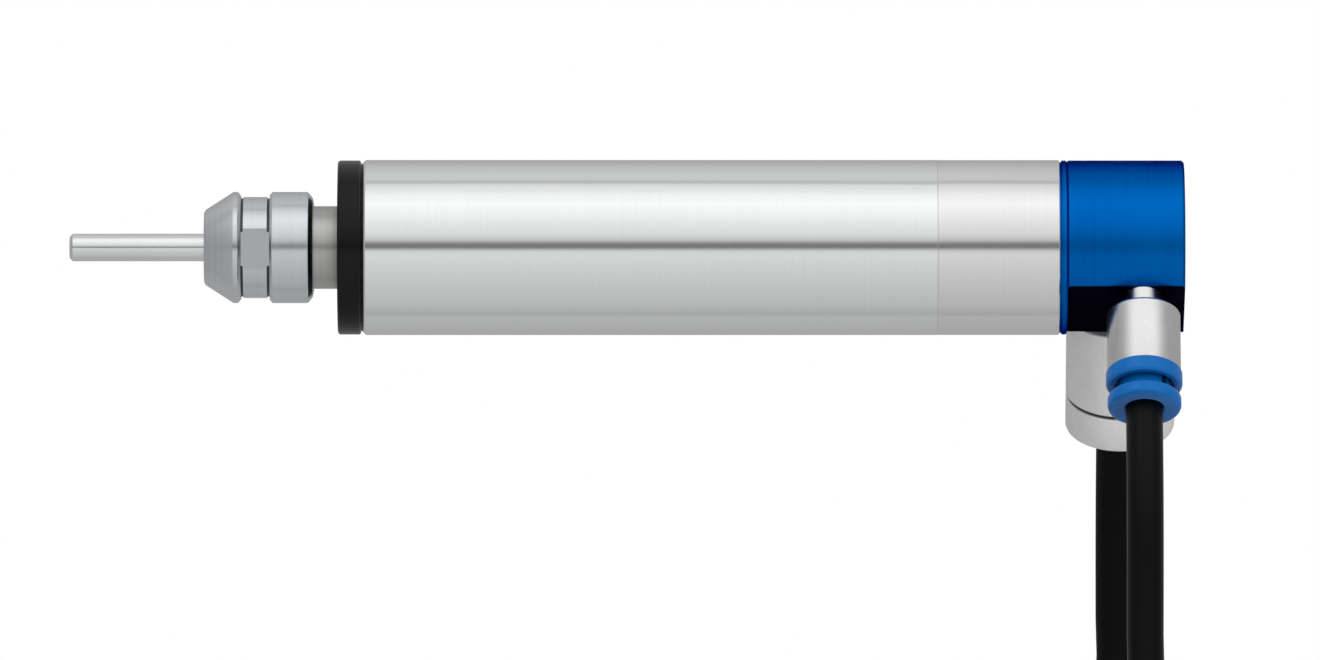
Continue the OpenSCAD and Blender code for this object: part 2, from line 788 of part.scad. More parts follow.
module rear_housing() {
    spigot_r = front_bearing_r;
    centre_hole_r = rear_bore_r + 1.2;
    color("lightgray")
        difference() {
            turned([[holder_bore_r, x_spigot], [spigot_r, x_spigot], [spigot_r, x_seam],
                    [back_r - seam_chamfer, x_seam], [back_r, x_seam + seam_chamfer],
                    [back_r, x_tube_end - edge_chamfer], [back_r - edge_chamfer, x_tube_end],
                    [centre_hole_r, x_tube_end], [centre_hole_r, x_end_wall],
                    [holder_bore_r, x_end_wall]]);
            lead_holes(x_spigot - past, x_tube_end + past, concat(lead_angles, vent_angles));
            for (angle = screw_angles)
                around(angle, screw_circle_r)
                    rod(x_tube_end - screw_grip - air, x_tube_end + past, screw_d / 2 + seat);
        }
}

module stator_core() {
    vent_r = 0.6;
    color("dimgray")
        difference() {
            tube(x_core, x_core + core_len, front_bearing_r, core_r + seat);
            for (angle = vent_angles)
                around(angle, front_bearing_r)
                    rod(x_core - past, x_core + core_len + past, vent_r);
        }
}

module stator_winding() {
    end_turn_r = front_bearing_r - 0.3;
    x_core_end = x_core + core_len;
    color("chocolate")
        turned([[winding_r, x_winding], [end_turn_r, x_winding], [end_turn_r, x_core - seat],
                [core_r, x_core - seat], [core_r, x_core_end + seat],
                [end_turn_r, x_core_end + seat], [end_turn_r, x_winding_end],
                [winding_r, x_winding_end]]);
}

module sensor_board() {
    sensor_w = 1.6;
    sensor_l = 2.4;
    color("darkgreen")
        difference() {
            union() {
                tube(x_board, x_board + board_t, front_bearing_r, front_bore_r + 1);
                for (i = [0 : 2])
                    around(i * 60 + 240, front_bearing_r - sensor_w / 2 - 1)
                        translate([x_board - sensor_h, -sensor_w / 2, -sensor_l / 2])
                            cube([sensor_h + board_t / 2, sensor_w, sensor_l]);
            }
            lead_holes(x_board - sensor_h - past, x_board + board_t + past, lead_angles);
        }
}

// A round strand from p to q, with a ball at q
module strand(p, q, r) {
    d = q - p;
    translate(p)
        rotate([0, acos(d.z / norm(d)), atan2(d.y, d.x)])
            cylinder(h = norm(d), r = r);
    translate(q)
        sphere(r = r + seat, $fn = 32);
}

// Each lead runs to the rear, turns inwards, passes along the hollow and ends at the cord's own end
module motor_leads() {
    x_turn = x_block + lead_drop;
    lead_r = lead_d / 2;
    inner_r = 1.3;
    down = [0, sin(flat_tilt), -cos(flat_tilt)];
    to_cord = cord_route[0] * down - lead_r - sliding;
    color("orangered")
        for (angle = lead_angles) {
            outward = [0, cos(angle), sin(angle)];
            corner = [x_turn, 0, 0] + lead_circle_r * outward;
            inside = [x_turn, 0, 0] + inner_r * outward;
            above = [x_gland, 0, 0] + inner_r * outward;
            strand([x_winding_end + seat, corner.y, corner.z], corner, lead_r);
            strand(corner, inside, lead_r);
            strand(inside, above, lead_r);
            strand(above, above + (to_cord - above * down) * down, lead_r);
        }
}

module bearing_holder() {
    groove_r = holder_r - 0.6;
    groove_half = 0.4;
    color("lightsteelblue")
        difference() {
            turned([[rear_bearing_r + seat, x_holder], [holder_r, x_holder],
                    [holder_r, x_holder_end], [rear_bearing_r - 0.7, x_holder_end],
                    [rear_bearing_r - 0.7, x_rear_bearing_end],
                    [rear_bearing_r + seat, x_rear_bearing_end]]);
            for (x = holder_grooves())
                tube(x - groove_half, x + groove_half, holder_r + past, groove_r);
        }
}

// Places of the two O-rings on the holder
function holder_grooves() = [x_holder + holder_len * 0.25, x_holder + holder_len * 0.75];

module holder_o_rings() {
    section_r = 0.28;
    color("black")
        for (x = holder_grooves())
            translate([x, 0, 0])
                rotate([0, 90, 0])
                    rotate_extrude()
                        translate([holder_r - section_r, 0])
                            circle(r = section_r, $fn = 24);
}

module preload_springs() {
    inner_r = rear_bearing_r - 0.4;
    outer_r = holder_r - 0.1;
    cone_h = disc_spring_h - disc_spring_t;
    x_middle = x_holder_end + disc_spring_h;
    color("steelblue") {
        turned([[inner_r, x_holder_end], [inner_r, x_holder_end + disc_spring_t],
                [outer_r, x_middle], [outer_r, x_holder_end + cone_h]]);
        turned([[inner_r, x_end_wall], [outer_r, x_middle + disc_spring_t],
                [outer_r, x_middle], [inner_r, x_end_wall - disc_spring_t]]);
    }
}

module rear_ring() {
    color("royalblue")
        difference() {
            edged_tube(x_tube_end, x_block, back_r, cavity_r, edge_chamfer, edge_chamfer);
            lead_holes(x_tube_end - past, x_block + past, concat(lead_angles, vent_angles));
            for (angle = screw_angles)
                around(angle, screw_circle_r)
                    rod(x_tube_end - past, x_block + past, screw_d / 2 + sliding);
        }
}

module rear_block() {
    slot_w = 2 * lead_hole_r;
    color("royalblue")
        difference() {
            edged_tube(x_block, x_end, back_r, 0, edge_chamfer, 2 * edge_chamfer);
            rod(x_block - past, x_block + cavity_depth, cavity_r);
            for (angle = concat(lead_angles, vent_angles))
                around(angle, 0)
                    translate([x_block - past, 0, -slot_w / 2])
                        cube([past + lead_drop + lead_hole_r, lead_circle_r + lead_hole_r, slot_w]);
            for (angle = screw_angles)
                around(angle, screw_circle_r) {
                    rod(x_block - past, x_end + past, screw_d / 2 + sliding);
                    rod(x_end - screw_head_h - air, x_end + past, screw_head_d / 2 + sliding);
                }
            on_gland_flat() {
                flat_cut();
                translate([0, 0, cavity_r - 1 - flat_dist])
                    cylinder(h = flat_dist, r = gland_thread_d / 2 + seat);
            }
            on_air_flat() {
                flat_cut();
                translate([0, 0, -fitting_thread_len - 2])
                    cylinder(h = fitting_thread_len + 2 + past, r = fitting_thread_d / 2 + seat);
            }
        }
}

// Everything beyond a flat, over the whole length of the block
module flat_cut() {
    translate([-2 * block_len, -2 * body_d, 0])
        cube([4 * block_len, 4 * body_d, body_d]);
}

module block_screws() {
    x_head = x_end - screw_head_h - air;
    socket_depth = screw_head_h * 0.55;
    color("dimgray")
        for (angle = screw_angles)
            around(angle, screw_circle_r)
                difference() {
                    union() {
                        rod(x_tube_end - screw_grip, x_head + past / 2, screw_d / 2);
                        rod(x_head, x_head + screw_head_h, screw_head_d / 2);
                    }
                    translate([x_head + screw_head_h - socket_depth, 0, 0])
                        rotate([0, 90, 0])
                            cylinder(h = socket_depth + past, d = screw_socket_w / cos(30), $fn = 6);
                }
}

module gland_body() {
    gland_r = gland_d / 2;
    top = gland_gasket_t + gland_body_len;
    seal_start = top - gland_nut_thread_len - gland_seal_len;
    nut_thread_r = cord_hole_r + 2;
    color("silver")
        on_gland_flat()
            standing([[cord_hole_r, -gland_thread_len], [gland_thread_d / 2, -gland_thread_len],
                      [gland_thread_d / 2, gland_gasket_t], [gland_r - edge_chamfer, gland_gasket_t],
                      [gland_r, gland_gasket_t + edge_chamfer], [gland_r, top - edge_chamfer],
                      [gland_r - edge_chamfer, top], [nut_thread_r + seat, top],
                      [nut_thread_r + seat, seal_start], [cord_hole_r, seal_start]]);
}

module gland_gasket() {
    color("black")
        on_gland_flat()
            standing([[gland_thread_d / 2 + seat, 0], [gland_d / 2 - 0.4, 0],
                      [gland_d / 2 - 0.4, gland_gasket_t], [gland_thread_d / 2 + seat, gland_gasket_t]]);
}

module gland_nut() {
    gland_r = gland_d / 2;
    base = gland_gasket_t + gland_body_len;
    thread_r = cord_hole_r + 2;
    color("silver")
        on_gland_flat()
            standing([[cord_hole_r, base - gland_nut_thread_len], [thread_r, base - gland_nut_thread_len],
                      [thread_r, base], [gland_r - edge_chamfer, base], [gland_r, base + edge_chamfer],
                      [gland_r, base + gland_nut_len - 2 * edge_chamfer],
                      [gland_r - 2 * edge_chamfer, base + gland_nut_len],
                      [cord_hole_r, base + gland_nut_len]]);
}

module gland_seal() {
    top = gland_gasket_t + gland_body_len - gland_nut_thread_len;
    color("black")
        on_gland_flat()
            standing([[cord_hole_r, top - gland_seal_len], [cord_hole_r + 2, top - gland_seal_len],
                      [cord_hole_r + 2, top], [cord_hole_r, top]]);
}

module air_fitting_body() {
    body_edge = 0.3;
    outer_r = fitting_d / 2;
    passage_r = 0.9;
    color("gainsboro")
        on_air_flat()
            standing([[passage_r, -fitting_thread_len], [fitting_thread_d / 2, -fitting_thread_len],
                      [fitting_thread_d / 2, neck_gasket_t], [neck_d / 2, neck_gasket_t],
                      [neck_d / 2, t_body], [outer_r - body_edge, t_body],
                      [outer_r, t_body + body_edge], [outer_r, t_body_end],
                      [claw_r, t_body_end], [claw_r, t_claw], [claw_r - 0.4, t_claw],
                      [claw_r - 0.4, t_seal], [hose_hole_r, t_seal], [hose_hole_r, t_hose],
                      [passage_r, t_hose]]);
}

module air_fitting_seals() {
    section_r = (claw_r - 0.4 - hose_hole_r) / 2;
    color("black")
        on_air_flat() {
            standing([[fitting_thread_d / 2 + seat, 0], [neck_d / 2, 0],
                      [neck_d / 2, neck_gasket_t], [fitting_thread_d / 2 + seat, neck_gasket_t]]);
            translate([0, 0, t_seal + section_r + sliding])
                rotate_extrude()
                    translate([hose_hole_r + section_r, 0])
                        circle(r = section_r - seat, $fn = 24);
        }
}

module hose_claw() {
    rim = claw_r - seat;
    color("silver")
        on_air_flat()
            standing([[rim, t_claw + 0.1], [rim, t_claw + 0.35],
                      [hose_hole_r + 0.25, t_claw + 0.95], [hose_hole_r, t_claw + 0.8]]);
}

module air_guide_ring() {
    bore_r = barrel_d / 2 + sliding;
    edge = 0.3;
    color("dodgerblue")
        on_air_flat()
            standing([[bore_r, t_guide_spigot], [guide_spigot_r, t_guide_spigot],
                      [guide_spigot_r, t_body_end], [guide_d / 2, t_body_end],
                      [guide_d / 2, t_guide_end - edge], [guide_d / 2 - edge, t_guide_end],
                      [bore_r, t_guide_end]]);
}

module release_sleeve() {
    collar_r = release_d / 2;
    edge = 0.35;
    slot_w = 0.8;
    slot_end = t_release - 0.4;
    color("dodgerblue")
        on_air_flat()
            difference() {
                standing([[hose_hole_r, t_barrel], [barrel_d / 2, t_barrel],
                          [barrel_d / 2, t_release], [collar_r - edge, t_release],
                          [collar_r, t_release + edge], [collar_r, t_end - edge],
                          [collar_r - edge, t_end], [hose_hole_r, t_end]]);
                for (i = [0 : 1])
                    rotate([0, 0, 40 + i * 90])
                        translate([-barrel_d, -slot_w / 2, t_barrel - past])
                            cube([2 * barrel_d, slot_w, slot_end - t_barrel + past]);
            }
}

module motor_cord() {
    color("black")
        swept(cord_route, cord_d, 12);
}

module cord_tail() {
    color("black")
        swept(tail_route, cord_d, 12);
}

module cord_coil() {
    color("black")
        coil(cord_coil_y, cord_coil_r, cord_d, cord_pitch);
}

module air_hose() {
    color("black")
        swept(hose_route, hose_d, 10);
}

module hose_coil() {
    color("black")
        coil(hose_coil_y, hose_coil_r, hose_d, hose_pitch);
}

module hose_tail() {
    color("black")
        translate([0, hose_y, table_z + hose_d / 2])
            tube(hose_tail_end, hose_tail_start, hose_d / 2, hose_bore_d / 2);
}

module coil_straps() {
    color("dimgray") {
        strap(cord_coil_y, cord_coil_r, cord_d, cord_pitch, 0, 0);
        strap(hose_coil_y, hose_coil_r, hose_d, hose_pitch, 0, 0);
    }
}

module plug_boot() {
    color("black")
        plug_turned([[cord_hole_r, x_boot], [cord_hole_r + 0.9, x_boot],
                     [shell_d / 2 - 0.4, x_shell], [cord_hole_r, x_shell]]);
}

module plug_shell() {
    hollow_r = shell_spigot_r - 0.9;
    back_wall = 2;
    color("silver")
        plug_turned([[cord_hole_r, x_shell], [shell_d / 2 - edge_chamfer, x_shell],
                     [shell_d / 2, x_shell - edge_chamfer], [shell_d / 2, x_ring + air],
                     [shell_spigot_r, x_ring + air], [shell_spigot_r, x_ring - ring_flange_t],
                     [hollow_r, x_ring - ring_flange_t], [hollow_r, x_shell - back_wall],
                     [cord_hole_r, x_shell - back_wall]]);
}

module plug_ring() {
    grip_r = coupling_d / 2;
    thread_r = shell_spigot_r + 1.1;
    grip_count = 18;
    grip_depth = 0.25;
    color("gray")
        difference() {
            plug_turned([[shell_spigot_r + sliding, x_ring], [grip_r - 0.6, x_ring],
                         [grip_r, x_ring - 0.6], [grip_r, x_ring_end + 0.6],
                         [grip_r - 0.6, x_ring_end], [thread_r, x_ring_end],
                         [thread_r, x_ring - ring_flange_t],
                         [shell_spigot_r + sliding, x_ring - ring_flange_t]]);
            translate([0, plug_y, plug_z])
                for (i = [0 : grip_count - 1])
                    around((i + 0.5) * 360 / grip_count, grip_r + 0.6 - grip_depth)
                        rod(x_ring_end + 1.5, x_ring - 1.5, 0.6);
        }
}

module plug_insert() {
    x_insert = x_ring - ring_flange_t;
    color("black")
        difference() {
            plug_turned([[0, x_insert], [shell_spigot_r, x_insert],
                         [shell_spigot_r, x_ring_end + 1], [0, x_ring_end + 1]]);
            contacts(contact_d / 2 + seat, past);
        }
}

// The contacts on their circle, flush with the insert's face
module contacts(r, extra) {
    contact_len = 6;
    translate([0, plug_y, plug_z])
        for (i = [0 : contact_count - 1])
            around(i * 360 / contact_count, insert_d / 2 - 1.9)
                rod(x_ring_end + 1 - extra, x_ring_end + 1 + contact_len, r);
}

module plug_contacts() {
    color("gold")
        contacts(contact_d / 2, 0);
}

tool_shank();
collet();
collet_nut();
spindle_shaft();
front_shaft_nut();
rear_shaft_nut();
inner_spacer();
rotor_magnet();
rotor_sleeve();
front_balance_ring();
rear_balance_ring();
front_inner_ring();
second_inner_ring();
rear_inner_ring();
front_balls();
second_balls();
rear_balls();
front_cage();
second_cage();
rear_cage();
front_outer_ring();
second_outer_ring();
rear_outer_ring();
outer_spacer();
front_cap();
front_housing();
rear_housing();
stator_core();
stator_winding();
sensor_board();
motor_leads();
bearing_holder();
holder_o_rings();
preload_springs();
rear_ring();
rear_block();
block_screws();
gland_body();
gland_gasket();
gland_nut();
gland_seal();
air_fitting_body();
air_fitting_seals();
hose_claw();
air_guide_ring();
release_sleeve();
motor_cord();
cord_coil();
cord_tail();
air_hose();
hose_coil();
hose_tail();
coil_straps();
plug_boot();
plug_shell();
plug_insert();
plug_contacts();
plug_ring();
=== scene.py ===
# %% [markdown]
# A slim motor spindle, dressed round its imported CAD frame. The frame gives every part its place in metres:
# X is the spindle axis from the tool to the rear block, and Z points up. The box of the plain CAD model is
# kept at once, because the dressed model has to stay inside it. Its lowest point gives the table's height.

# %% Load the frame
import json
import math

import bpy
from mathutils import Matrix, Vector


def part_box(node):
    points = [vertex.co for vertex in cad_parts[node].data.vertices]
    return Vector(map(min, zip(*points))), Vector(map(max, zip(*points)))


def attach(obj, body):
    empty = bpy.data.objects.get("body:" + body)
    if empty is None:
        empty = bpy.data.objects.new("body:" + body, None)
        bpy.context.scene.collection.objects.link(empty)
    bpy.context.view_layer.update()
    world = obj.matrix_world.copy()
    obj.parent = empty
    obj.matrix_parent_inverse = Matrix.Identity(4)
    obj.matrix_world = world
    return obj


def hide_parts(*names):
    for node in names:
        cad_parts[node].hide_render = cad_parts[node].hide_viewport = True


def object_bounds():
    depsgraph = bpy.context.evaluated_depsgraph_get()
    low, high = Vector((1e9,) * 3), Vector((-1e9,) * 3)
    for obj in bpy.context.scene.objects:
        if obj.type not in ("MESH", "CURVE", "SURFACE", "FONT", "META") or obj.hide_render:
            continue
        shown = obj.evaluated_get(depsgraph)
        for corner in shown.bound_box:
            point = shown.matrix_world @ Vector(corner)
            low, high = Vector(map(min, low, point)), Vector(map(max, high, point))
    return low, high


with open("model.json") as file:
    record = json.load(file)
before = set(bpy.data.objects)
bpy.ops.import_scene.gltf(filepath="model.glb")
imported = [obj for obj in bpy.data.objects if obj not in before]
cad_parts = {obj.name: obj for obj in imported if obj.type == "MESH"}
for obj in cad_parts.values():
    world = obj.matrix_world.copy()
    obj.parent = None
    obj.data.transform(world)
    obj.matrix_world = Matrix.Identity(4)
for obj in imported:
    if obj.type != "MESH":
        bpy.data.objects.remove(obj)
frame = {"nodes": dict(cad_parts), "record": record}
cad_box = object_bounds()
nodes = frame["nodes"]
scene = bpy.context.scene
MM = 0.001
TABLE = round(cad_box[0][2] / MM, 3)
print("CAD box in mm", [[round(v / MM, 2) for v in corner] for corner in cad_box])

# %% [markdown]
# The photograph was taken square from the side, with a long lens, so the spindle shows almost no
# perspective. A camera far away on the -Y side with a narrow lens gives the same flat look. The picture's
# middle lies 9 mm under the axis, because the cord and the hose hang down.

# %% Camera
PICTURE_X = 0.975
PICTURE_Z = -8.98
DISTANCE = 2400
camera_data = bpy.data.cameras.new("camera")
camera = bpy.data.objects.new("camera", camera_data)
scene.collection.objects.link(camera)
camera.location = (PICTURE_X * MM, -DISTANCE * MM, PICTURE_Z * MM)
camera.rotation_euler = (math.radians(90), 0, 0)
camera_data.sensor_width = 36
camera_data.lens = 601.2
scene.camera = camera
scene.view_settings.view_transform = "Standard"
print("camera at", tuple(camera.location), "lens", camera_data.lens)

# %% [markdown]
# Small helpers come next. Blender's operators work on whatever is selected, so everything is deselected
# before a piece is begun, and one helper makes a piece the only selected and active one.

# %% Selecting
def bare():
    """Nothing is selected."""
    if bpy.context.object and bpy.context.object.mode != "OBJECT":
        bpy.ops.object.mode_set(mode="OBJECT")
    bpy.ops.object.select_all(action="DESELECT")


def only(piece):
    """This piece alone is selected and active."""
    bare()
    piece.select_set(True)
    bpy.context.view_layer.objects.active = piece


# %% [markdown]
# Most parts of a spindle are turned on a lathe. The helper works like one: it starts from a circle,
# extrudes it from station to station along Z and scales each new ring to its radius. A hollow part runs
# out along the outside and back along the bore until its last ring meets the first one. Then the whole
# part is moved and turned to its place, which is applied, so that the object itself stays at the origin.

# %% A lathe
def lathe(name, stations, place, hollow=False, segments=144):
    """A turned piece from its stations (distance along the axis, radius), in mm."""
    bare()
    along, radius = stations[0]
    fill = "NOTHING" if hollow else "NGON"
    bpy.ops.mesh.primitive_circle_add(vertices=segments, radius=radius * MM, fill_type=fill)
    piece = bpy.context.object
    piece.name = name
    bpy.ops.object.mode_set(mode="EDIT")
    bpy.ops.mesh.select_all(action="SELECT")
    bpy.ops.transform.translate(value=(0, 0, along * MM))
    rings = list(stations[1:]) + ([stations[0]] if hollow else [])
    for next_along, next_radius in rings:
        step = (0, 0, (next_along - along) * MM)
        bpy.ops.mesh.extrude_region_move(TRANSFORM_OT_translate={"value": step})
        growth = next_radius / radius
        if growth != 1:
            middle = (0, 0, next_along * MM)
            bpy.ops.transform.resize(value=(growth, growth, 1), center_override=middle)
        along, radius = next_along, next_radius
    bpy.ops.mesh.select_all(action="SELECT")
    bpy.ops.mesh.remove_doubles(threshold=MM / 1000)
    bpy.ops.mesh.normals_make_consistent(inside=False)
    bpy.ops.object.mode_set(mode="OBJECT")
    settle(piece, place)
    return piece


def settle(piece, place):
    """Moves a piece to its place and applies it to the mesh."""
    only(piece)
    piece.matrix_world = place @ piece.matrix_world
    bpy.ops.object.transform_apply(location=True, rotation=True, scale=True)


# %% [markdown]
# A knife-sharp edge looks like a drawing. Real edges are broken by a few hundredths of a millimetre and
# catch a line of light, so each piece gets a small bevel on its corners, and its surface is shaded smooth
# between them. A Boolean cuts holes, slots and flats. Where a cutter repeats, it is modelled once and
# copied to its places.

# %% Edges and cuts
def apply_all(piece):
    """Applies the modifiers of a piece in their order."""
    only(piece)
    for modifier in list(piece.modifiers):
        bpy.ops.object.modifier_apply(modifier=modifier.name)


def soften(piece, width, segments=3, angle=24, smooth_to=36):
    """Breaks the edges of a piece, width in mm, and shades it smooth."""
    bevel = piece.modifiers.new("edges", "BEVEL")
    bevel.width = width * MM
    bevel.segments = segments
    bevel.limit_method = "ANGLE"
    bevel.angle_limit = math.radians(angle)
    apply_all(piece)
    bpy.ops.object.shade_smooth_by_angle(angle=math.radians(smooth_to))


def join(pieces):
    """Makes one object of several."""
    bare()
    for piece in pieces:
        piece.select_set(True)
    bpy.context.view_layer.objects.active = pieces[0]
    bpy.ops.object.join()
    return bpy.context.object


def copies(pattern, places):
    """Copies of a piece at several places, each with its own mesh. The pattern goes."""
    pieces = []
    for place in places:
        piece = pattern.copy()
        piece.data = pattern.data.copy()
        piece.data.transform(place)
        scene.collection.objects.link(piece)
        pieces.append(piece)
    bpy.data.objects.remove(pattern)
    return pieces


def cut(piece, cutters):
    """Takes the cutters out of a piece, and removes them."""
    tool = join(cutters)
    boolean = piece.modifiers.new("cut", "BOOLEAN")
    boolean.operation = "DIFFERENCE"
    boolean.solver = "EXACT"
    boolean.use_self = True
    boolean.object = tool
    apply_all(piece)
    bpy.data.objects.remove(tool)


def block(size, place):
    """A plain box used as a cutter, size in mm."""
    bare()
    bpy.ops.mesh.primitive_cube_add(size=1)
    cutter = bpy.context.object
    cutter.scale = [side * MM for side in size]
    bpy.ops.object.transform_apply(location=True, rotation=True, scale=True)
    settle(cutter, place)
    return cutter


# %% [markdown]
# Three places come up again and again: the spindle axis, the tilted flat of the cord gland and the tilted
# flat of the air fitting. Each is a matrix that takes the lathe's Z to the right direction. The flats lie
# 7.93 mm off the axis and face down, 30 degrees to each side. The air fitting stands 3.4 mm further out on
# its flat, towards the camera. Where a part begins and ends is read from the frame.

# %% Places
def at(x, y, z):
    """A shift in mm."""
    return Matrix.Translation((x * MM, y * MM, z * MM))


def turn(degrees, axis):
    """A turn about one of the axes."""
    return Matrix.Rotation(math.radians(degrees), 4, axis)


def ends(node):
    """Where a CAD node begins and ends along the spindle, in mm."""
    low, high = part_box(node)
    return round(low[0] / MM, 3), round(high[0] / MM, 3)


LEAN = 30
FLAT = 7.93
GLAND_RADIUS = 5.95
FITTING_RADIUS = 4.0
GLAND_X = ends("gland_nut")[1] - GLAND_RADIUS
AIR_X = ends("air_fitting_body")[1] - FITTING_RADIUS
AIR_OUT = 3.4
ON_AXIS = turn(90, "Y")
ON_GLAND = at(GLAND_X, 0, 0) @ turn(180 + LEAN, "X") @ at(0, 0, FLAT)
ON_AIR = at(AIR_X, 0, 0) @ turn(180 - LEAN, "X") @ at(0, AIR_OUT, FLAT)
print("gland at", round(GLAND_X, 3), "and air fitting at", round(AIR_X, 3), "mm")

# %% [markdown]
# The motor cord comes first with the air hose, because their coils decide how far the model spreads. Both
# leave the block slanting outwards, hang down, and meet the table 85 mm under the axis. What the camera
# doesn't see is wound into two neat coils, each of three columns and four layers, a little over a diameter
# apart. The way from one turn to the next moves a little further round with every turn, and bulges where it
# only goes down, so that the strand that comes in and the one that goes out both stay clear. A strap pulls
# the strands in by half a millimetre.

# %% The path of a coil
GAP = 0.3
POINTS_A_TURN = 36
CROSSING = 0.25
BULGE = 1.1
STRAP_REACH = 24
PULL_SIDEWAYS = 0.115
PULL_DOWN = 0.08


def smooth(t):
    """Runs from 0 to 1 without a kink."""
    t = min(max(t, 0), 1)
    return t * t * (3 - 2 * t)


def coil(middle, mean_radius, diameter, start, way):
    """Points of a coil from its top outer turn down, in mm; way is 1 for left turns, -1 for right ones."""
    pitch = diameter + GAP
    columns = [mean_radius + pitch, mean_radius, mean_radius - pitch]
    layers = [TABLE + diameter / 2 + pitch * level for level in (3, 2, 1, 0)]
    mean_height = sum(layers) / len(layers)
    seats = []
    for number, height in enumerate(layers):
        row = columns if number % 2 == 0 else columns[::-1]
        seats += [(radius, height) for radius in row]
    points = []
    for count in range(POINTS_A_TURN * len(seats) + 1):
        turns = count / POINTS_A_TURN
        radius, height = seats[0]
        for number in range(1, len(seats)):
            old, new = seats[number - 1], seats[number]
            begin = number - (1 - (number - 1) / (len(seats) - 2)) * CROSSING
            done = (turns - begin) / CROSSING
            radius += (new[0] - old[0]) * smooth(done)
            height += (new[1] - old[1]) * smooth(done)
            if old[0] == new[0] and 0 < done < 1:
                side = 1 if new[0] > mean_radius else -1
                radius += side * BULGE * math.sin(math.pi * done) ** 2
        angle = start + way * 360 * turns
        off_strap = (angle + 180) % 360 - 180
        pull = math.exp(-((off_strap / STRAP_REACH) ** 2))
        radius = mean_radius + (radius - mean_radius) * (1 - PULL_SIDEWAYS * pull)
        height = mean_height + (height - mean_height) * (1 - PULL_DOWN * pull)
        bearing = math.radians(angle)
        points.append((middle[0] + radius * math.cos(bearing),
                       middle[1] + radius * math.sin(bearing), height))
    return points


def length_of(points):
    """Length of a path."""
    return sum(math.dist(a, b) for a, b in zip(points, points[1:]))


# %% [markdown]
# A cord is a curve with one open spline and a round profile. A mesh tube would work too, but a curve keeps
# its line and its thickness apart, and Blender's automatic handles make one smooth line of the points.

# %% A strand
def strand(name, points, diameter):
    """A round strand along points in mm."""
    curve = bpy.data.curves.new(name, "CURVE")
    curve.dimensions = "3D"
    curve.bevel_depth = diameter / 2 * MM
    curve.bevel_resolution = 6
    curve.resolution_u = 3
    curve.use_fill_caps = True
    spline = curve.splines.new("BEZIER")
    spline.bezier_points.add(len(points) - 1)
    for knot, point in zip(spline.bezier_points, points):
        knot.co = [value * MM for value in point]
        knot.handle_left_type = "AUTO"
        knot.handle_right_type = "AUTO"
    piece = bpy.data.objects.new(name, curve)
    scene.collection.objects.link(piece)
    return piece


# %% [markdown]
# The route of each strand has three stretches. Where it hangs from the spindle its points are listed,
# then the coil's rule takes over, and a few more listed points lead to the connector or to the hose's end.

# %% Cord and hose routes
CORD_D = 5
HOSE_D = 4
CORD_MIDDLE = (14, 33.6)
HOSE_MIDDLE = (14, -31.8)
CORD_MEAN = 25.2
HOSE_MEAN = 20.6
cord_drop = [(51.2, 2.2, -3.8), (51.2, 5.0, -8.7), (51.2, 8.0, -13.9), (51.2, 11.2, -19.4),
             (51.2, 12.7, -22.0), (51.2, 14.6, -26.0), (51.2, 15.7, -30.3), (51.2, 16.1, -34.6),
             (51.2, 15.7, -40.6), (51.2, 14.8, -46.6), (49.7, 12.8, -54.3), (45.3, 10.4, -60.7),
             (38.9, 7.9, -65.1), (32.6, 6.1, -66.6), (26.6, 4.6, -66.6), (20.0, 3.5, -66.6)]
cord_tail = [(8.0, 3.1, -82.5), (1.4, 3.1, -82.5), (-3.0, 3.1, -82.5), (-8.0, 3.1, -81.9),
             (-12.0, 3.1, -80.5), (-16.0, 3.1, -78.9), (-20.0, 3.1, -78.1), (-24.0, 3.1, -78.0),
             (-33.0, 3.1, -78.0)]
hose_drop = [(53.4, -9.2, -9.1), (53.4, -11.4, -13.0), (53.4, -14.1, -17.6), (53.4, -15.6, -20.2),
             (53.4, -17.4, -24.1), (53.4, -18.5, -28.3), (53.4, -18.9, -32.6), (53.4, -18.3, -42.0),
             (53.4, -16.6, -52.1), (52.0, -14.9, -59.0), (48.1, -13.2, -64.8), (42.3, -11.3, -68.7),
             (35.4, -9.6, -70.1), (27.0, -8.1, -70.1), (19.0, -7.1, -70.1)]
hose_tail = [(8.0, -6.9, -83.0), (3.0, -6.9, -83.0), (-10.0, -6.9, -83.0), (-24.0, -6.9, -83.0),
             (-38.0, -6.9, -83.0), (-48.0, -6.9, -83.0)]
cord_path = cord_drop + coil(CORD_MIDDLE, CORD_MEAN, CORD_D, -90, -1) + cord_tail
hose_path = hose_drop + coil(HOSE_MIDDLE, HOSE_MEAN, HOSE_D, 90, 1) + hose_tail
motor_cord = strand("motor_cord_strand", cord_path, CORD_D)
air_hose = strand("air_hose_strand", hose_path, HOSE_D)
cord_length = length_of(cord_path) * MM
hose_length = length_of(hose_path) * MM
print("cord", round(cord_length, 3), "m, hose", round(hose_length, 3), "m")

# %% [markdown]
# Shader maths reads best as sums. A wire stands for one output of a node, and adding or multiplying wires
# puts down Math nodes. Any other node comes from one method that takes its kind, its settings and what
# goes into its sockets. A ramp's stops are a setting too.

# %% Nodes as sums
class Wire:
    """One output of a node, which can be used in sums."""

    def __init__(self, nodes, socket):
        self.nodes = nodes
        self.socket = socket

    def sum(self, operation, first, second=0.0):
        """A Math node."""
        return self.nodes.add("Math", {"operation": operation}, {0: first, 1: second})

    def __add__(self, other):
        return self.sum("ADD", self, other)

    def __mul__(self, other):
        return self.sum("MULTIPLY", self, other)

    def __abs__(self):
        return self.sum("ABSOLUTE", self)

    __radd__ = __add__
    __rmul__ = __mul__

    def beside(self, output):
        """Another output of the same node."""
        return Wire(self.nodes, self.socket.node.outputs[output])


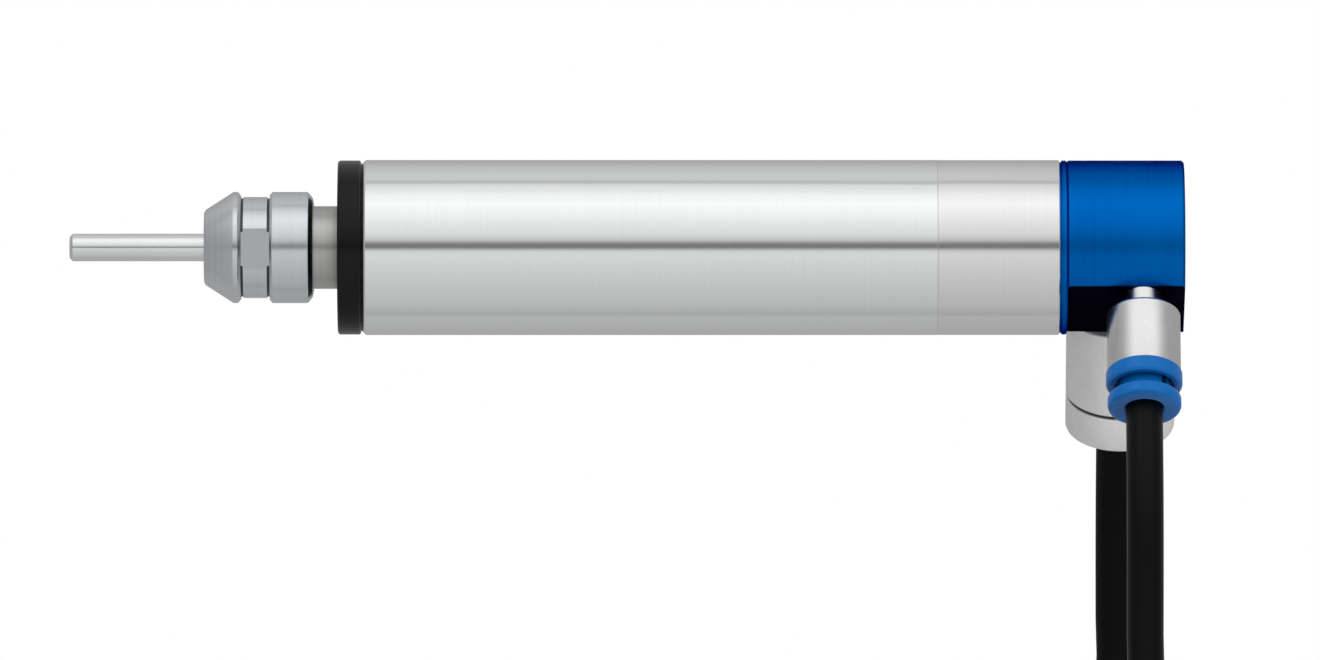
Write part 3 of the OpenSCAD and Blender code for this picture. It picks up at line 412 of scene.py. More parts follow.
class Nodes:
    """The node tree of a material or of the world."""

    def __init__(self, tree):
        self.tree = tree
        tree.nodes.clear()

    def add(self, kind, settings=None, inputs=None, output=0):
        """Puts down a node: its settings first, then the values or wires of its sockets."""
        node = self.tree.nodes.new("ShaderNode" + kind)
        for key, value in (settings or {}).items():
            if key == "stops":
                set_stops(node.color_ramp, value)
            else:
                setattr(node, key, value)
        for key, value in (inputs or {}).items():
            socket = node.inputs[key]
            if isinstance(value, Wire):
                self.tree.links.new(value.socket, socket)
            else:
                socket.default_value = value
        return Wire(self, node.outputs[output]) if len(node.outputs) else None

    def blend(self, factor, first, second):
        """A colour between two colours. A Mix node takes them in sockets 6 and 7, and gives it in 2."""
        return self.add("Mix", {"data_type": "RGBA"}, {0: factor, 6: first, 7: second}, 2)

    def rise(self, value, low, high):
        """0 up to low and 1 from high on, with a soft way between them."""
        return self.add("MapRange", {"interpolation_type": "SMOOTHSTEP"},
                        {0: value, 1: low, 2: high, 3: 0.0, 4: 1.0})


def set_stops(ramp, stops):
    """Gives a ramp its stops, each a position and a colour."""
    while len(ramp.elements) > 1:
        ramp.elements.remove(ramp.elements[0])
    ramp.elements[0].position = stops[0][0]
    for position, colour in stops[1:]:
        ramp.elements.new(position)
    for element, (position, colour) in zip(ramp.elements, stops):
        element.color = colour


# %% [markdown]
# A ground steel tube is a mirror of the room: what it shows is the studio, not its own colour. In the
# photograph it shows a broad soft light above the camera, a pale ceiling and floor, and one thin dark line
# where they meet in front. The world gives polished surfaces such a room as a smooth ramp of the angle at
# which a reflected ray climbs, while the camera sees plain white and matt surfaces get an even light. At 0
# degrees a ray goes to the camera, at 90 straight up, at -90 straight down and at 180 to the back. To the
# left and right, along the spindle, the room fades into one tone.

# %% The studio
def grey(tone):
    """A neutral colour."""
    return (tone, tone, tone, 1)


TONES = [(-180, 0.38), (-141, 0.43), (-107, 0.48), (-99, 0.42), (-84, 0.51), (-52, 0.59),
         (-24, 0.68), (-12, 0.74), (-5, 0.7), (0, 0.16), (5, 0.22), (9, 0.56), (14, 0.7), (20, 0.78),
         (30, 0.85), (45, 0.97), (60, 1.06), (74, 0.97), (82, 0.84), (91, 0.77), (96, 0.46),
         (101, 0.63), (112, 0.63), (125, 0.57), (155, 0.42), (180, 0.37)]
SIDE_START = 0.42
SIDE_END = 0.99
SIDE_TONE = 0.38
MATT_TONE = 0.55
world = bpy.data.worlds.new("studio")
scene.world = world
world.use_nodes = True
room = Nodes(world.node_tree)
direction = room.add("TexCoord", output="Generated")
ray_x = room.add("SeparateXYZ", None, {0: direction})
ray_y = ray_x.beside(1)
ray_z = ray_x.beside(2)
climb = ray_z.sum("ARCTAN2", ray_z, ray_y * -1.0) * (1 / (2 * math.pi)) + 0.5
stops = [(angle / 360 + 0.5, grey(tone)) for angle, tone in TONES]
wall = room.add("ValToRGB", {"stops": stops}, {0: climb})
sideways = room.rise(abs(ray_x), SIDE_START, SIDE_END)
mirrored = room.blend(sideways, wall, grey(SIDE_TONE))
camera_ray = room.add("LightPath", output="Is Camera Ray")
matt_ray = camera_ray.beside("Is Diffuse Ray")
seen = camera_ray.sum("MAXIMUM", camera_ray, camera_ray.beside("Is Transmission Ray"))
tint = room.blend(matt_ray, mirrored, grey(MATT_TONE))
tint = room.blend(seen, tint, grey(1.0))
backdrop = room.add("Background", None, {"Color": tint, "Strength": 1.0})
room.add("OutputWorld", None, {"Surface": backdrop})
print("studio made with", len(TONES), "tones")

# %% [markdown]
# Three large soft lamps shape the matt parts: a key from the upper left of the camera, a weaker fill from
# the right, and one from behind for the views of the back. They are hidden from reflections, because the
# room already gives those.

# %% Lamps
AIM = Vector((0, 0, -0.02))


def lamp(name, place, size, power):
    """A large soft lamp that shines on the spindle, in metres and watts."""
    data = bpy.data.lights.new(name, "AREA")
    data.shape = "DISK"
    data.size = size
    data.energy = power
    item = bpy.data.objects.new(name, data)
    scene.collection.objects.link(item)
    item.location = place
    item.rotation_euler = (AIM - Vector(place)).to_track_quat("-Z", "Y").to_euler()
    item.visible_glossy = False
    print("lamp", name, "with", power, "W")


lamp("key", (-0.5, -0.7, 0.9), 0.7, 9)
lamp("fill", (0.7, -0.5, 0.35), 0.6, 3)
lamp("back", (0.1, 0.9, 0.7), 0.7, 4)

# %% [markdown]
# The table is a pale disc just under the coils. The camera of the photograph looks over it, but the other
# views show it: near the spindle it takes soft shadows, and towards its edge it fades into the white. From
# underneath it is clear, so that the model can be looked at from below too.

# %% Table
TABLE_RADIUS = 650
FADE_START = 160
FADE_END = 550
bare()
bpy.ops.mesh.primitive_circle_add(vertices=96, radius=TABLE_RADIUS * MM, fill_type="NGON")
table = bpy.context.object
table.name = "table"
settle(table, at(10, 0, TABLE - 0.05))
table.visible_glossy = False
table_material = bpy.data.materials.new("pale_table")
table_material.use_nodes = True
top = Nodes(table_material.node_tree)
distance = top.add("VectorMath", {"operation": "LENGTH"}, {0: top.add("TexCoord", output="Object")}, 1)
fade = top.rise(distance, FADE_START * MM, FADE_END * MM)
eye = top.add("LightPath", output="Is Camera Ray")
paint = top.add("BsdfDiffuse", None, {"Color": grey(0.86)})
glow = top.add("Emission", None, {"Color": grey(1.0), "Strength": 1.0})
clear = top.add("BsdfTransparent", None, {"Color": grey(1.0)})
underside = top.add("NewGeometry", output="Backfacing")
surface = top.add("MixShader", None, {0: fade * eye, 1: paint, 2: glow})
surface = top.add("MixShader", None, {0: underside, 1: surface, 2: clear})
top.add("OutputMaterial", None, {"Surface": surface})
table.data.materials.append(table_material)
print("table", 2 * TABLE_RADIUS, "mm across at", TABLE, "mm")

# %% [markdown]
# Every finish is one Principled shader. The class below makes it, names it and gives the patterns that
# several finishes share. Turned metal carries fine rings round its axis, so its noise is squeezed along
# that axis; cast or blasted metal has an even fine grain; and nothing is quite clean, so a soft cloud
# changes colour and gloss a little. What stays the same over the whole surface is given by the name of its
# socket in small letters, such as specular_ior_level.

# %% A finish
finishes = {}


class Finish(Nodes):
    """A material with one Principled shader."""

    def __init__(self, name, **constants):
        self.material = bpy.data.materials.new(name)
        self.material.use_nodes = True
        super().__init__(self.material.node_tree)
        self.shader = self.tree.nodes.new("ShaderNodeBsdfPrincipled")
        output = self.tree.nodes.new("ShaderNodeOutputMaterial")
        self.tree.links.new(self.shader.outputs[0], output.inputs[0])
        self.place = self.add("TexCoord", output="Object")
        for key, value in constants.items():
            self.shader.inputs[key.replace("_", " ").title().replace("Ior", "IOR")].default_value = value

    def feed(self, socket, wire):
        """Links a wire to a socket of the shader."""
        self.tree.links.new(wire.socket, self.shader.inputs[socket])

    def noise(self, stretch, detail, rough):
        """Noise with its own stretch along X, Y and Z, in cells per metre."""
        spot = self.add("Mapping", None, {"Vector": self.place, "Scale": stretch})
        return self.add("TexNoise", None, {"Vector": spot, "Scale": 1.0, "Detail": detail,
                                           "Roughness": rough})

    def relief(self, height, depth, strength=1.0):
        """A bump of so many mm under the normal."""
        wire = self.add("Bump", None, {"Height": height, "Distance": depth * MM,
                                       "Strength": strength})
        self.feed("Normal", wire)

    def colours(self, factor, first, second):
        """The base colour between two colours."""
        self.feed("Base Color", self.blend(factor, (*first, 1), (*second, 1)))

    def keep(self, name):
        """Keeps the material under the name of its finish."""
        finishes[name] = self.material
        print("finish", name, "with", len(self.tree.nodes), "nodes")


# %% [markdown]
# The finishes of turned metal. The long tube is ground and polished, so its gloss is high and its rings
# are hardly felt. The collet nut and the shaft nose keep the fine rings of the turning tool, and the nut is
# a little bluer. Noise that is stretched round the X axis gives all of these.

# %% Turned metals
def turned_metal(name, dark, light, gloss, ring=4000, ring_depth=0.0006, spread=0.05):
    """Bright metal with rings round the X axis."""
    metal = Finish(name, metallic=1.0)
    rings = metal.noise((ring, 60, 60), 3.0, 0.6)
    cloud = metal.noise((90, 90, 90), 3.0, 0.55)
    metal.colours(rings * 0.6 + cloud * 0.4, dark, light)
    metal.feed("Roughness", rings * spread + cloud * spread + (gloss - spread))
    metal.relief(rings, ring_depth)
    metal.keep(name)


turned_metal("ground_steel", (0.86, 0.87, 0.875), (0.94, 0.945, 0.95), 0.1,
             ring=5000, ring_depth=0.0002, spread=0.02)
turned_metal("rear_steel", (0.82, 0.825, 0.82), (0.9, 0.905, 0.9), 0.11,
             ring=5000, ring_depth=0.0002, spread=0.02)
turned_metal("nut_steel", (0.62, 0.65, 0.675), (0.8, 0.82, 0.845), 0.2)
turned_metal("shaft_steel", (0.4, 0.4, 0.39), (0.62, 0.62, 0.61), 0.3, ring=3500, ring_depth=0.0015)
turned_metal("shank_steel", (0.8, 0.81, 0.81), (0.92, 0.93, 0.93), 0.16)
turned_metal("bearing_steel", (0.6, 0.6, 0.61), (0.74, 0.74, 0.75), 0.15)
turned_metal("brass", (0.52, 0.36, 0.14), (0.68, 0.5, 0.22), 0.22)
turned_metal("gold", (0.72, 0.5, 0.16), (0.86, 0.64, 0.26), 0.2)

# %% [markdown]
# Nickel plating on cast or blasted brass has a fine grain and a softer gloss. It covers the cord gland, the
# air fitting and the connector. The grain is a small-scale noise that feeds both the bump and the colour.

# %% Plated metals
def plated(name, dark, light, gloss, depth=0.004, metallic=1.0):
    """Satin plating with an even grain."""
    metal = Finish(name, metallic=metallic)
    speck = metal.noise((2600, 2600, 2600), 2.0, 0.6)
    cloud = metal.noise((250, 250, 120), 3.0, 0.6)
    metal.colours(speck * 0.5 + cloud * 0.5, dark, light)
    metal.feed("Roughness", cloud * 0.08 + speck * 0.06 + (gloss - 0.07))
    metal.relief(speck, depth, 0.7)
    metal.keep(name)


plated("gland_metal", (0.7, 0.7, 0.69), (0.92, 0.92, 0.91), 0.34, depth=0.006, metallic=0.55)
plated("plug_metal", (0.46, 0.46, 0.46), (0.64, 0.64, 0.63), 0.3)
plated("fitting_metal", (0.7, 0.7, 0.69), (0.9, 0.9, 0.9), 0.22, depth=0.0012)

# %% [markdown]
# Anodised aluminium keeps its metal gleam and takes a deep colour. The blue block is satin, so the dark
# line of the room melts away in it. Its milled flats are duller, and their near-black colour is painted
# shade, because they face down under the fittings. The black cap is so dark that only its gloss shows,
# with the rings of the turning tool. Magnet steel, sheet steel and copper wire have the same fine lines
# round the axis, so they are made here too.

# %% Anodised parts
def anodised(name, dark, light, gloss, metallic=1.0, ring=3000, depth=0.001, **constants):
    """Dyed metal with rings round the X axis."""
    metal = Finish(name, metallic=metallic, **constants)
    rings = metal.noise((ring, 50, 50), 3.0, 0.6)
    cloud = metal.noise((160, 160, 160), 3.0, 0.5)
    metal.colours(rings * 0.5 + cloud * 0.5, dark, light)
    metal.feed("Roughness", rings * 0.06 + cloud * 0.06 + (gloss - 0.06))
    metal.relief(rings, depth)
    metal.keep(name)


anodised("blue_block", (0.0, 0.1, 0.46), (0.0, 0.18, 0.62), 0.34, specular_tint=(0.0, 0.05, 0.2, 1))
# The near-black colour of the flats is painted shade on the downward faces.
anodised("blue_flats_painted_shade", (0.009, 0.007, 0.017), (0.016, 0.014, 0.03), 0.4, specular_tint=(0.1, 0.1, 0.18, 1))
anodised("black_cap", (0.0005, 0.0005, 0.0005), (0.003, 0.003, 0.003), 0.26,
         metallic=0.0, specular_ior_level=0.22)
# Dark steel also serves as painted shade in the collet nut's grooves.
anodised("dark_steel", (0.05, 0.05, 0.055), (0.1, 0.1, 0.105), 0.36)
anodised("magnet", (0.09, 0.09, 0.1), (0.16, 0.16, 0.17), 0.42)
anodised("lamination", (0.12, 0.13, 0.14), (0.26, 0.27, 0.28), 0.42, ring=5000, depth=0.003)
anodised("copper", (0.42, 0.16, 0.06), (0.66, 0.29, 0.12), 0.3, ring=4000, depth=0.006)

# %% [markdown]
# Plastic, rubber and resin don't shine like metal. The blue rings of the air fitting are moulded and
# glossy. The cord's jacket is matt, the hose is smoother, and the rubber has a fine skin.

# %% Plastics and rubber
def moulded(name, dark, light, gloss, grain=1500, depth=0.003, **constants):
    """Moulded or extruded plastic."""
    skin = Finish(name, **constants)
    speck = skin.noise((grain, grain, grain), 2.0, 0.6)
    cloud = skin.noise((220, 220, 220), 3.0, 0.6)
    skin.colours(speck * 0.3 + cloud * 0.7, dark, light)
    skin.feed("Roughness", cloud * 0.1 + speck * 0.06 + (gloss - 0.08))
    skin.relief(speck, depth, 0.6)
    skin.keep(name)


moulded("blue_plastic", (0.0, 0.08, 0.3), (0.0, 0.13, 0.42), 0.26, specular_ior_level=0.25)
moulded("black_rubber", (0.012, 0.012, 0.012), (0.03, 0.03, 0.03), 0.6)
moulded("cord_jacket", (0.0008, 0.0008, 0.0008), (0.0022, 0.0021, 0.0021), 0.6,
        grain=2400, depth=0.004, specular_ior_level=0.1)
moulded("hose_jacket", (0.0006, 0.0006, 0.0006), (0.0016, 0.0015, 0.0015), 0.36,
        grain=1200, depth=0.001, specular_ior_level=0.14)
moulded("ceramic", (0.06, 0.06, 0.06), (0.13, 0.13, 0.13), 0.12, grain=900, depth=0.0004)
moulded("cage_resin", (0.34, 0.18, 0.07), (0.52, 0.32, 0.15), 0.5)
moulded("circuit_board", (0.01, 0.12, 0.05), (0.03, 0.2, 0.09), 0.35)
moulded("lead_jacket", (0.42, 0.07, 0.02), (0.6, 0.13, 0.04), 0.4)

# %% [markdown]
# The straps round the coils are woven webbing. A picture of cloth could be wrapped round them, but a pattern
# made of sums stays sharp at any distance: two sets of waves cross at right angles, and their product stands
# out as threads.

# %% Webbing
webbing = Finish("strap_webbing")
wave = {"Vector": webbing.place, "Scale": 420.0, "Distortion": 0.6}
across = webbing.add("TexWave", {"wave_type": "BANDS", "bands_direction": "X"}, wave, 1)
along = webbing.add("TexWave", {"wave_type": "BANDS", "bands_direction": "Y"}, wave, 1)
threads = across * along
webbing.colours(threads, (0.02, 0.02, 0.023), (0.07, 0.07, 0.076))
webbing.feed("Roughness", threads * 0.2 + 0.6)
webbing.relief(threads, 0.08)
webbing.keep("strap")
print(len(finishes), "finishes")

# %% [markdown]
# One helper finishes a piece: it gives the finish and the body that the piece rides on, and hides the CAD
# nodes that it stands for.

# %% Dressing a piece
def dress(piece, finish, body="root", stands_for=()):
    """Finishes a piece, hangs it on its body and hides the CAD nodes it stands for."""
    piece.data.materials.clear()
    piece.data.materials.append(finishes[finish])
    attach(piece, body)
    if stands_for:
        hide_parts(*stands_for)
    count = len(piece.data.polygons) if piece.type == "MESH" else 0
    print(piece.name, finish, count, "faces")
    return piece


# %% [markdown]
# The long front tube is the ground cylinder that a clamp grips. It is turned with a bright chamfer at its
# front edge and a bore with the rib that the bearings stop against. A Boolean could bore it out, but an
# outline that comes back along the bore gives even quads.

# %% Front tube
BODY = 19.05 / 2
BORE = 8.01
RIB = 7.2
FRONT, SEAM = ends("front_housing")
front_tube = lathe("front_tube", [(FRONT, BORE), (FRONT, BODY - 0.5), (FRONT + 0.55, BODY),
                                  (SEAM, BODY), (SEAM, BORE), (FRONT + 14, BORE), (FRONT + 14, RIB),
                                  (FRONT + 12, RIB), (FRONT + 12, BORE)],
                   ON_AXIS, hollow=True, segments=192)
soften(front_tube, 0.04)
dress(front_tube, "ground_steel", "root", ["front_housing"])

# %% [markdown]
# The rear tube follows without a step, so that only a hairline parts them: a fine chamfer on its edge. A
# spigot goes four millimetres into the front tube, and a floor with a hole for the leads closes the end.

# %% Rear tube
TUBE_END = ends("rear_housing")[1]
rear_tube = lathe("rear_tube", [(SEAM, 7.99), (SEAM, BODY - 0.06), (SEAM + 0.06, BODY - 0.01),
                                (TUBE_END - 0.25, BODY - 0.01), (TUBE_END, BODY - 0.26),
                                (TUBE_END, 3.2), (TUBE_END - 3.6, 3.2), (TUBE_END - 3.6, 5.63),
                                (SEAM - 4, 5.63), (SEAM - 4, 7.99)],
                  ON_AXIS, hollow=True, segments=192)
soften(rear_tube, 0.02)
dress(rear_tube, "rear_steel", "root", ["rear_housing"])

# %% [markdown]
# The black cap closes the front and leaves a fine gap round the turning shaft. Its rear edge is broken, so
# that a thin dark line lies between it and the bright chamfer of the tube. Both edges are stations of the
# outline, because a bevel alone would give every edge the same width.

# %% Front cap
BACK = BODY - 0.05
CAP = ends("front_cap")[0]
cap = lathe("cap_ring", [(CAP, 4.65), (CAP, BACK - 0.2), (CAP + 0.2, BACK), (FRONT - 0.14, BACK),
                         (FRONT, BACK - 0.14), (FRONT, 8.0), (FRONT + 3, 8.0), (FRONT + 3, 6.7),
                         (FRONT + 0.5, 6.7), (FRONT + 0.5, 4.65)],
            ON_AXIS, hollow=True, segments=192)
soften(cap, 0.04)
dress(cap, "black_cap", "root", ["front_cap"])

# %% [markdown]
# The shaft runs from its nose under the collet nut to the rear bearing. Only a short length of the nose
# shows between the nut and the cap, but the whole shaft is turned in one piece, as the real one is: a bore
# and a cone for the collet in front, the long middle, and a thin journal behind.

# %% Shaft
NOSE, TAIL = ends("spindle_shaft")
shaft = lathe("shaft_turned", [(NOSE + 24, 1.65), (NOSE + 10.65, 1.65), (NOSE + 10.65, 2.205),
                               (NOSE + 8.7, 2.205), (NOSE, 3.428), (NOSE, 4.5), (NOSE + 17, 4.5),
                               (NOSE + 17, 4.0), (TAIL - 5.7, 4.0), (TAIL - 5.7, 2.0), (TAIL, 2.0)],
              ON_AXIS)
soften(shaft, 0.05)
dress(shaft, "shaft_steel", "rotor", ["spindle_shaft"])

# %% [markdown]
# The tool shank is a plain ground pin with a chamfer at each end. A bevelled cylinder would be close, but
# the lathe gives each chamfer its own length. The shank slides out of the collet, so it rides on a body of
# its own.

# %% Tool shank
TIP, HEEL = ends("tool_shank")
SHANK = 1.5
shank = lathe("shank", [(TIP, SHANK - 0.35), (TIP + 0.35, SHANK), (HEEL - 0.4, SHANK), (HEEL, SHANK - 0.4)],
              ON_AXIS)
soften(shank, 0.05)
dress(shank, "shank_steel", "tool", ["tool_shank"])

# %% [markdown]
# The collet nut has the most shape of all: a nose cone, a narrow front collar, a waist with two wrench
# flats, a longer rear collar, and chamfers between them. It is turned first, bore and thread side
# included, and its edges are broken. Then two boxes are cut out of the waist, which leaves crisp flats: if
# they were cut first, they would be rounded with the rest. The narrow grooves beside the waist lie in
# shade, so their faces are picked by their place and get a dark finish of their own, which is painted
# shade. The stations are measured from the nut's front face.

# %% Collet nut
NUT = ends("collet_nut")[0]
COLLAR = 6.05
WAIST = 5.5
GROOVE = 5.35
FRONT_GROOVE = (4.045, 4.265)
REAR_GROOVE = (6.895, 7.145)
GROOVE_EDGE = 0.02
MARGIN = 0.015
WRENCH = 10.05
FLATS_TURN = 92
nut = lathe("nut_turned", [(0, 2.77), (0, 3.8), (0.165, 4.1), (3.195, COLLAR), (3.695, COLLAR),
                           (FRONT_GROOVE[0] - GROOVE_EDGE, 5.62), (FRONT_GROOVE[0], GROOVE),
                           (FRONT_GROOVE[1], GROOVE), (FRONT_GROOVE[1] + GROOVE_EDGE, WAIST),
                           (REAR_GROOVE[0] - GROOVE_EDGE, WAIST), (REAR_GROOVE[0], GROOVE),
                           (REAR_GROOVE[1], GROOVE), (REAR_GROOVE[1] + GROOVE_EDGE, 5.72),
                           (7.445, COLLAR), (11.145, COLLAR), (11.365, 5.98), (11.82, 5.4),
                           (11.945, 4.8), (11.945, 4.53), (2.79, 4.53), (2.79, 3.47), (2.77, 3.47),
                           (1.77, 2.77)],
            ON_AXIS @ at(0, 0, NUT), hollow=True, segments=192)
soften(nut, 0.04, segments=2, angle=15, smooth_to=15)
waist_middle = NUT + (FRONT_GROOVE[0] + REAR_GROOVE[1]) / 2
waist_length = REAR_GROOVE[1] - FRONT_GROOVE[0]
flat = block((waist_length, 14, 4), at(waist_middle, 0, WRENCH / 2 + 2))
cut(nut, copies(flat, [turn(FLATS_TURN, "X"), turn(FLATS_TURN + 180, "X")]))
dress(nut, "nut_steel", "nut", ["collet_nut"])
# The groove faces take the dark steel finish as painted shade in the grooves.
nut.data.materials.append(finishes["dark_steel"])
for face in nut.data.polygons:
    along = face.center.x / MM - NUT
    away = math.hypot(face.center.y, face.center.z) / MM
    painted_groove_shade = any(start - MARGIN < along < end + MARGIN for start, end in (FRONT_GROOVE, REAR_GROOVE))
    if painted_groove_shade and away < WAIST:
        face.material_index = 1

# %% [markdown]
# A blue ring lies between the housing and the rear block, with a fine dark groove on each side of it. The
# grooves need no cutting: the ring's two chamfers meet those of its neighbours.

# %% Blue ring
RING_END = ends("rear_ring")[1]
ring = lathe("blue_ring", [(TUBE_END, 5.2), (TUBE_END, BACK - 0.2), (TUBE_END + 0.17, BACK),
                           (RING_END - 0.15, BACK), (RING_END, BACK - 0.15), (RING_END, 5.2)],
             ON_AXIS, hollow=True, segments=192)
soften(ring, 0.03)
dress(ring, "blue_block", "root", ["rear_ring"])

# %% [markdown]
# The rear block is turned as a full cylinder, and two flats are sliced off underneath with bisect, which
# cuts along a plane and closes the cut. A Boolean takes out the hollow for the leads and the three
# counterbores for the screws. The flats get a near-black finish of their own, picked by the way their
# faces point, which is painted shade on these downward faces.

# %% Rear block
END = ends("rear_block")[1]
SCREW_TURNS = (10, 90, 170)
SCREW_CIRCLE = 7.0
HEAD_RADIUS = 1.55
HEAD_DEPTH = 1.75
rear = lathe("block_milled", [(RING_END, BACK - 0.15), (RING_END + 0.15, BACK), (END - 0.25, BACK),
                              (END, BACK - 0.25)],
             ON_AXIS, segments=192)
downs = [turn(side * LEAN, "X") @ Vector((0, 0, -1)) for side in (1, -1)]
for down in downs:
    only(rear)
    bpy.ops.object.mode_set(mode="EDIT")
    bpy.ops.mesh.select_all(action="SELECT")
    bpy.ops.mesh.bisect(plane_co=down * FLAT * MM, plane_no=down, use_fill=True, clear_outer=True)
    bpy.ops.object.mode_set(mode="OBJECT")
hollow = lathe("hollow", [(RING_END - 1, 5.2), (RING_END + 8.5, 5.2)], ON_AXIS, segments=96)
counterbore = lathe("counterbore", [(END - HEAD_DEPTH, HEAD_RADIUS), (END + 1, HEAD_RADIUS)],
                    at(0, SCREW_CIRCLE, 0) @ ON_AXIS, segments=64)
cut(rear, [hollow] + copies(counterbore, [turn(degrees, "X") for degrees in SCREW_TURNS]))
soften(rear, 0.06)
dress(rear, "blue_block", "root", ["rear_block"])
# Faces that point straight down along a flat get the near-black finish: painted shade.
rear.data.materials.append(finishes["blue_flats_painted_shade"])
for face in rear.data.polygons:
    if any(face.normal.dot(down) > 0.999 for down in downs):
        face.material_index = 1

# %% [markdown]
# The cord gland stands on the far flat, on a slim gasket. Its body is a turned cup with a stem that goes
# into the block. All stations of the gland are measured from its flat.

# %% Gland body
GLAND_SPLIT = 10.05
gasket = lathe("gasket_ring", [(0.01, 3.55), (0.01, 4.5), (0.29, 4.5), (0.29, 3.55)],
               ON_GLAND, hollow=True, segments=96)
soften(gasket, 0.03)
dress(gasket, "black_rubber", "root", ["gland_gasket"])
gland = lathe("gland_turned", [(-2.6, 2.6), (-2.6, 3.5), (0.3, 3.5), (0.3, 4.6), (0.05, 4.65),
                               (0.05, GLAND_RADIUS - 0.15), (0.2, GLAND_RADIUS),
                               (GLAND_SPLIT - 0.09, GLAND_RADIUS), (GLAND_SPLIT, GLAND_RADIUS - 0.09),
                               (GLAND_SPLIT, 4.61), (3.05, 4.61), (3.05, 2.6)],
              ON_GLAND, hollow=True, segments=160)
soften(gland, 0.04)
dress(gland, "gland_metal", "root", ["gland_body"])

# %% [markdown]
# The gland's nut closes the cup round the cord. A dark seal shows as a line between body and nut, which
# looks curved because the gland is tilted. The line could be painted on one of them, but a real gap with a
# ring in it takes the light as the real one does.

# %% Gland nut and seal
GLAND_NUT = 10.45
GLAND_END = 14.55
gland_cap = lathe("gland_nut_turned", [(7.45, 2.6), (7.45, 4.6), (GLAND_NUT, 4.6),
                                       (GLAND_NUT, GLAND_RADIUS - 0.09), (GLAND_NUT + 0.09, GLAND_RADIUS),
                                       (GLAND_END - 0.5, GLAND_RADIUS), (GLAND_END - 0.17, 5.82),
                                       (GLAND_END, 5.5), (GLAND_END, 2.6)],
                  ON_GLAND, hollow=True, segments=160)
soften(gland_cap, 0.05)
dress(gland_cap, "gland_metal", "root", ["gland_nut"])
seal = lathe("gland_seam_ring", [(GLAND_SPLIT + 0.01, 4.62), (GLAND_SPLIT + 0.01, 5.7),
                                 (GLAND_NUT - 0.01, 5.7), (GLAND_NUT - 0.01, 4.62)],
             ON_GLAND, hollow=True, segments=128)
soften(seal, 0.05)
dress(seal, "black_rubber")

# %% [markdown]
# The push-in air fitting stands on the near flat: a plated body on a thin neck with a small foot, and a stem
# that goes into the block. Its stations are measured from the flat too.

# %% Air fitting body
FITTING_END = 9.84
fitting = lathe("fitting_turned", [(-3, 0.9), (-3, 1.5), (0.35, 1.5), (0.35, 1.87), (0.03, 1.87),
                                   (0.03, 1.95), (0.1, 2.0), (0.2, 2.0), (2.4, 1.85), (2.4, 3.65),
                                   (2.5, 3.85), (2.75, FITTING_RADIUS), (FITTING_END, FITTING_RADIUS),
                                   (FITTING_END, 3.35), (7.0, 3.35), (7.0, 2.95), (5.4, 2.95),
                                   (5.4, 2.05), (4.5, 2.05), (4.5, 0.9)],
                ON_AIR, hollow=True, segments=160)
soften(fitting, 0.05)
dress(fitting, "fitting_metal", "root", ["air_fitting_body"])

# %% [markdown]
# A blue guide ring is pressed into the fitting's mouth. It has a rounded rim and a recess in its face.

# %% Guide ring
guide = lathe("guide_ring_moulded", [(7.8, 2.85), (7.8, 3.33), (FITTING_END, 3.33), (FITTING_END, 4.0),
                                     (9.95, 4.15), (11.3, 4.15), (11.59, 3.9), (11.59, 3.35),
                                     (11.45, 3.2), (10.8, 3.2), (10.8, 2.85)],
              ON_AIR, hollow=True, segments=128)
soften(guide, 0.09)
dress(guide, "blue_plastic", "root", ["air_guide_ring"])

# %% [markdown]
# The blue release sleeve slides in when it is pressed, and frees the hose. A slot across its barrel splits
# it into springy fingers. The slot is cut before the edges are broken, so that its rims are rounded too.

# %% Release sleeve
SLOT_END = 12.39
SLOT_LENGTH = 4.5
SLOT_WIDTH = 0.8
SLOT_TURN = 40
sleeve = lathe("release_sleeve_moulded", [(9.05, 2.05), (9.05, 2.8), (12.79, 2.8), (12.79, 3.7),
                                          (12.95, 3.94), (13.15, 4.0), (13.9, 4.0), (14.15, 3.9),
                                          (14.29, 3.6), (14.29, 2.25), (14.1, 2.05)],
               ON_AIR, hollow=True, segments=128)
slot_place = ON_AIR @ turn(SLOT_TURN, "Z") @ at(0, 0, SLOT_END - SLOT_LENGTH / 2)
cut(sleeve, [block((12, SLOT_WIDTH, SLOT_LENGTH), slot_place)])
soften(sleeve, 0.06)
dress(sleeve, "blue_plastic", "release", ["release_sleeve"])

# %% [markdown]
# The cord ends in a round connector that lies on the table. Where the cord goes in it has a strain relief of
# rubber, with ribs that let it bend evenly and grow with its width, so a loop works out their stations. All
# stations of the connector are measured from here.

# %% Strain relief
CORD_Y = 3.1
PLUG_RADIUS = 7.0
RIBS = 5
ON_PLUG = at(ends("plug_boot")[1], CORD_Y, TABLE + PLUG_RADIUS) @ turn(-90, "Y")
ribs = [(0, 2.6), (0, 3.3)]
for number in range(RIBS):
    start = 1.2 + 1.9 * number
    radius = 3.5 + start * 0.13
    ribs += [(start, radius), (start + 0.2, radius - 0.45), (start + 0.75, radius - 0.4),
             (start + 0.95, radius + 0.1)]
ribs += [(12, 5.05), (12, 2.6)]
boot = lathe("boot_moulded", ribs, ON_PLUG, hollow=True, segments=96)
soften(boot, 0.1)
dress(boot, "black_rubber", "root", ["plug_boot"])

# %% [markdown]
# The connector's shell has fine rings for the grip, which are shallow grooves in its outline, and a thin
# collar in front, round the contacts.

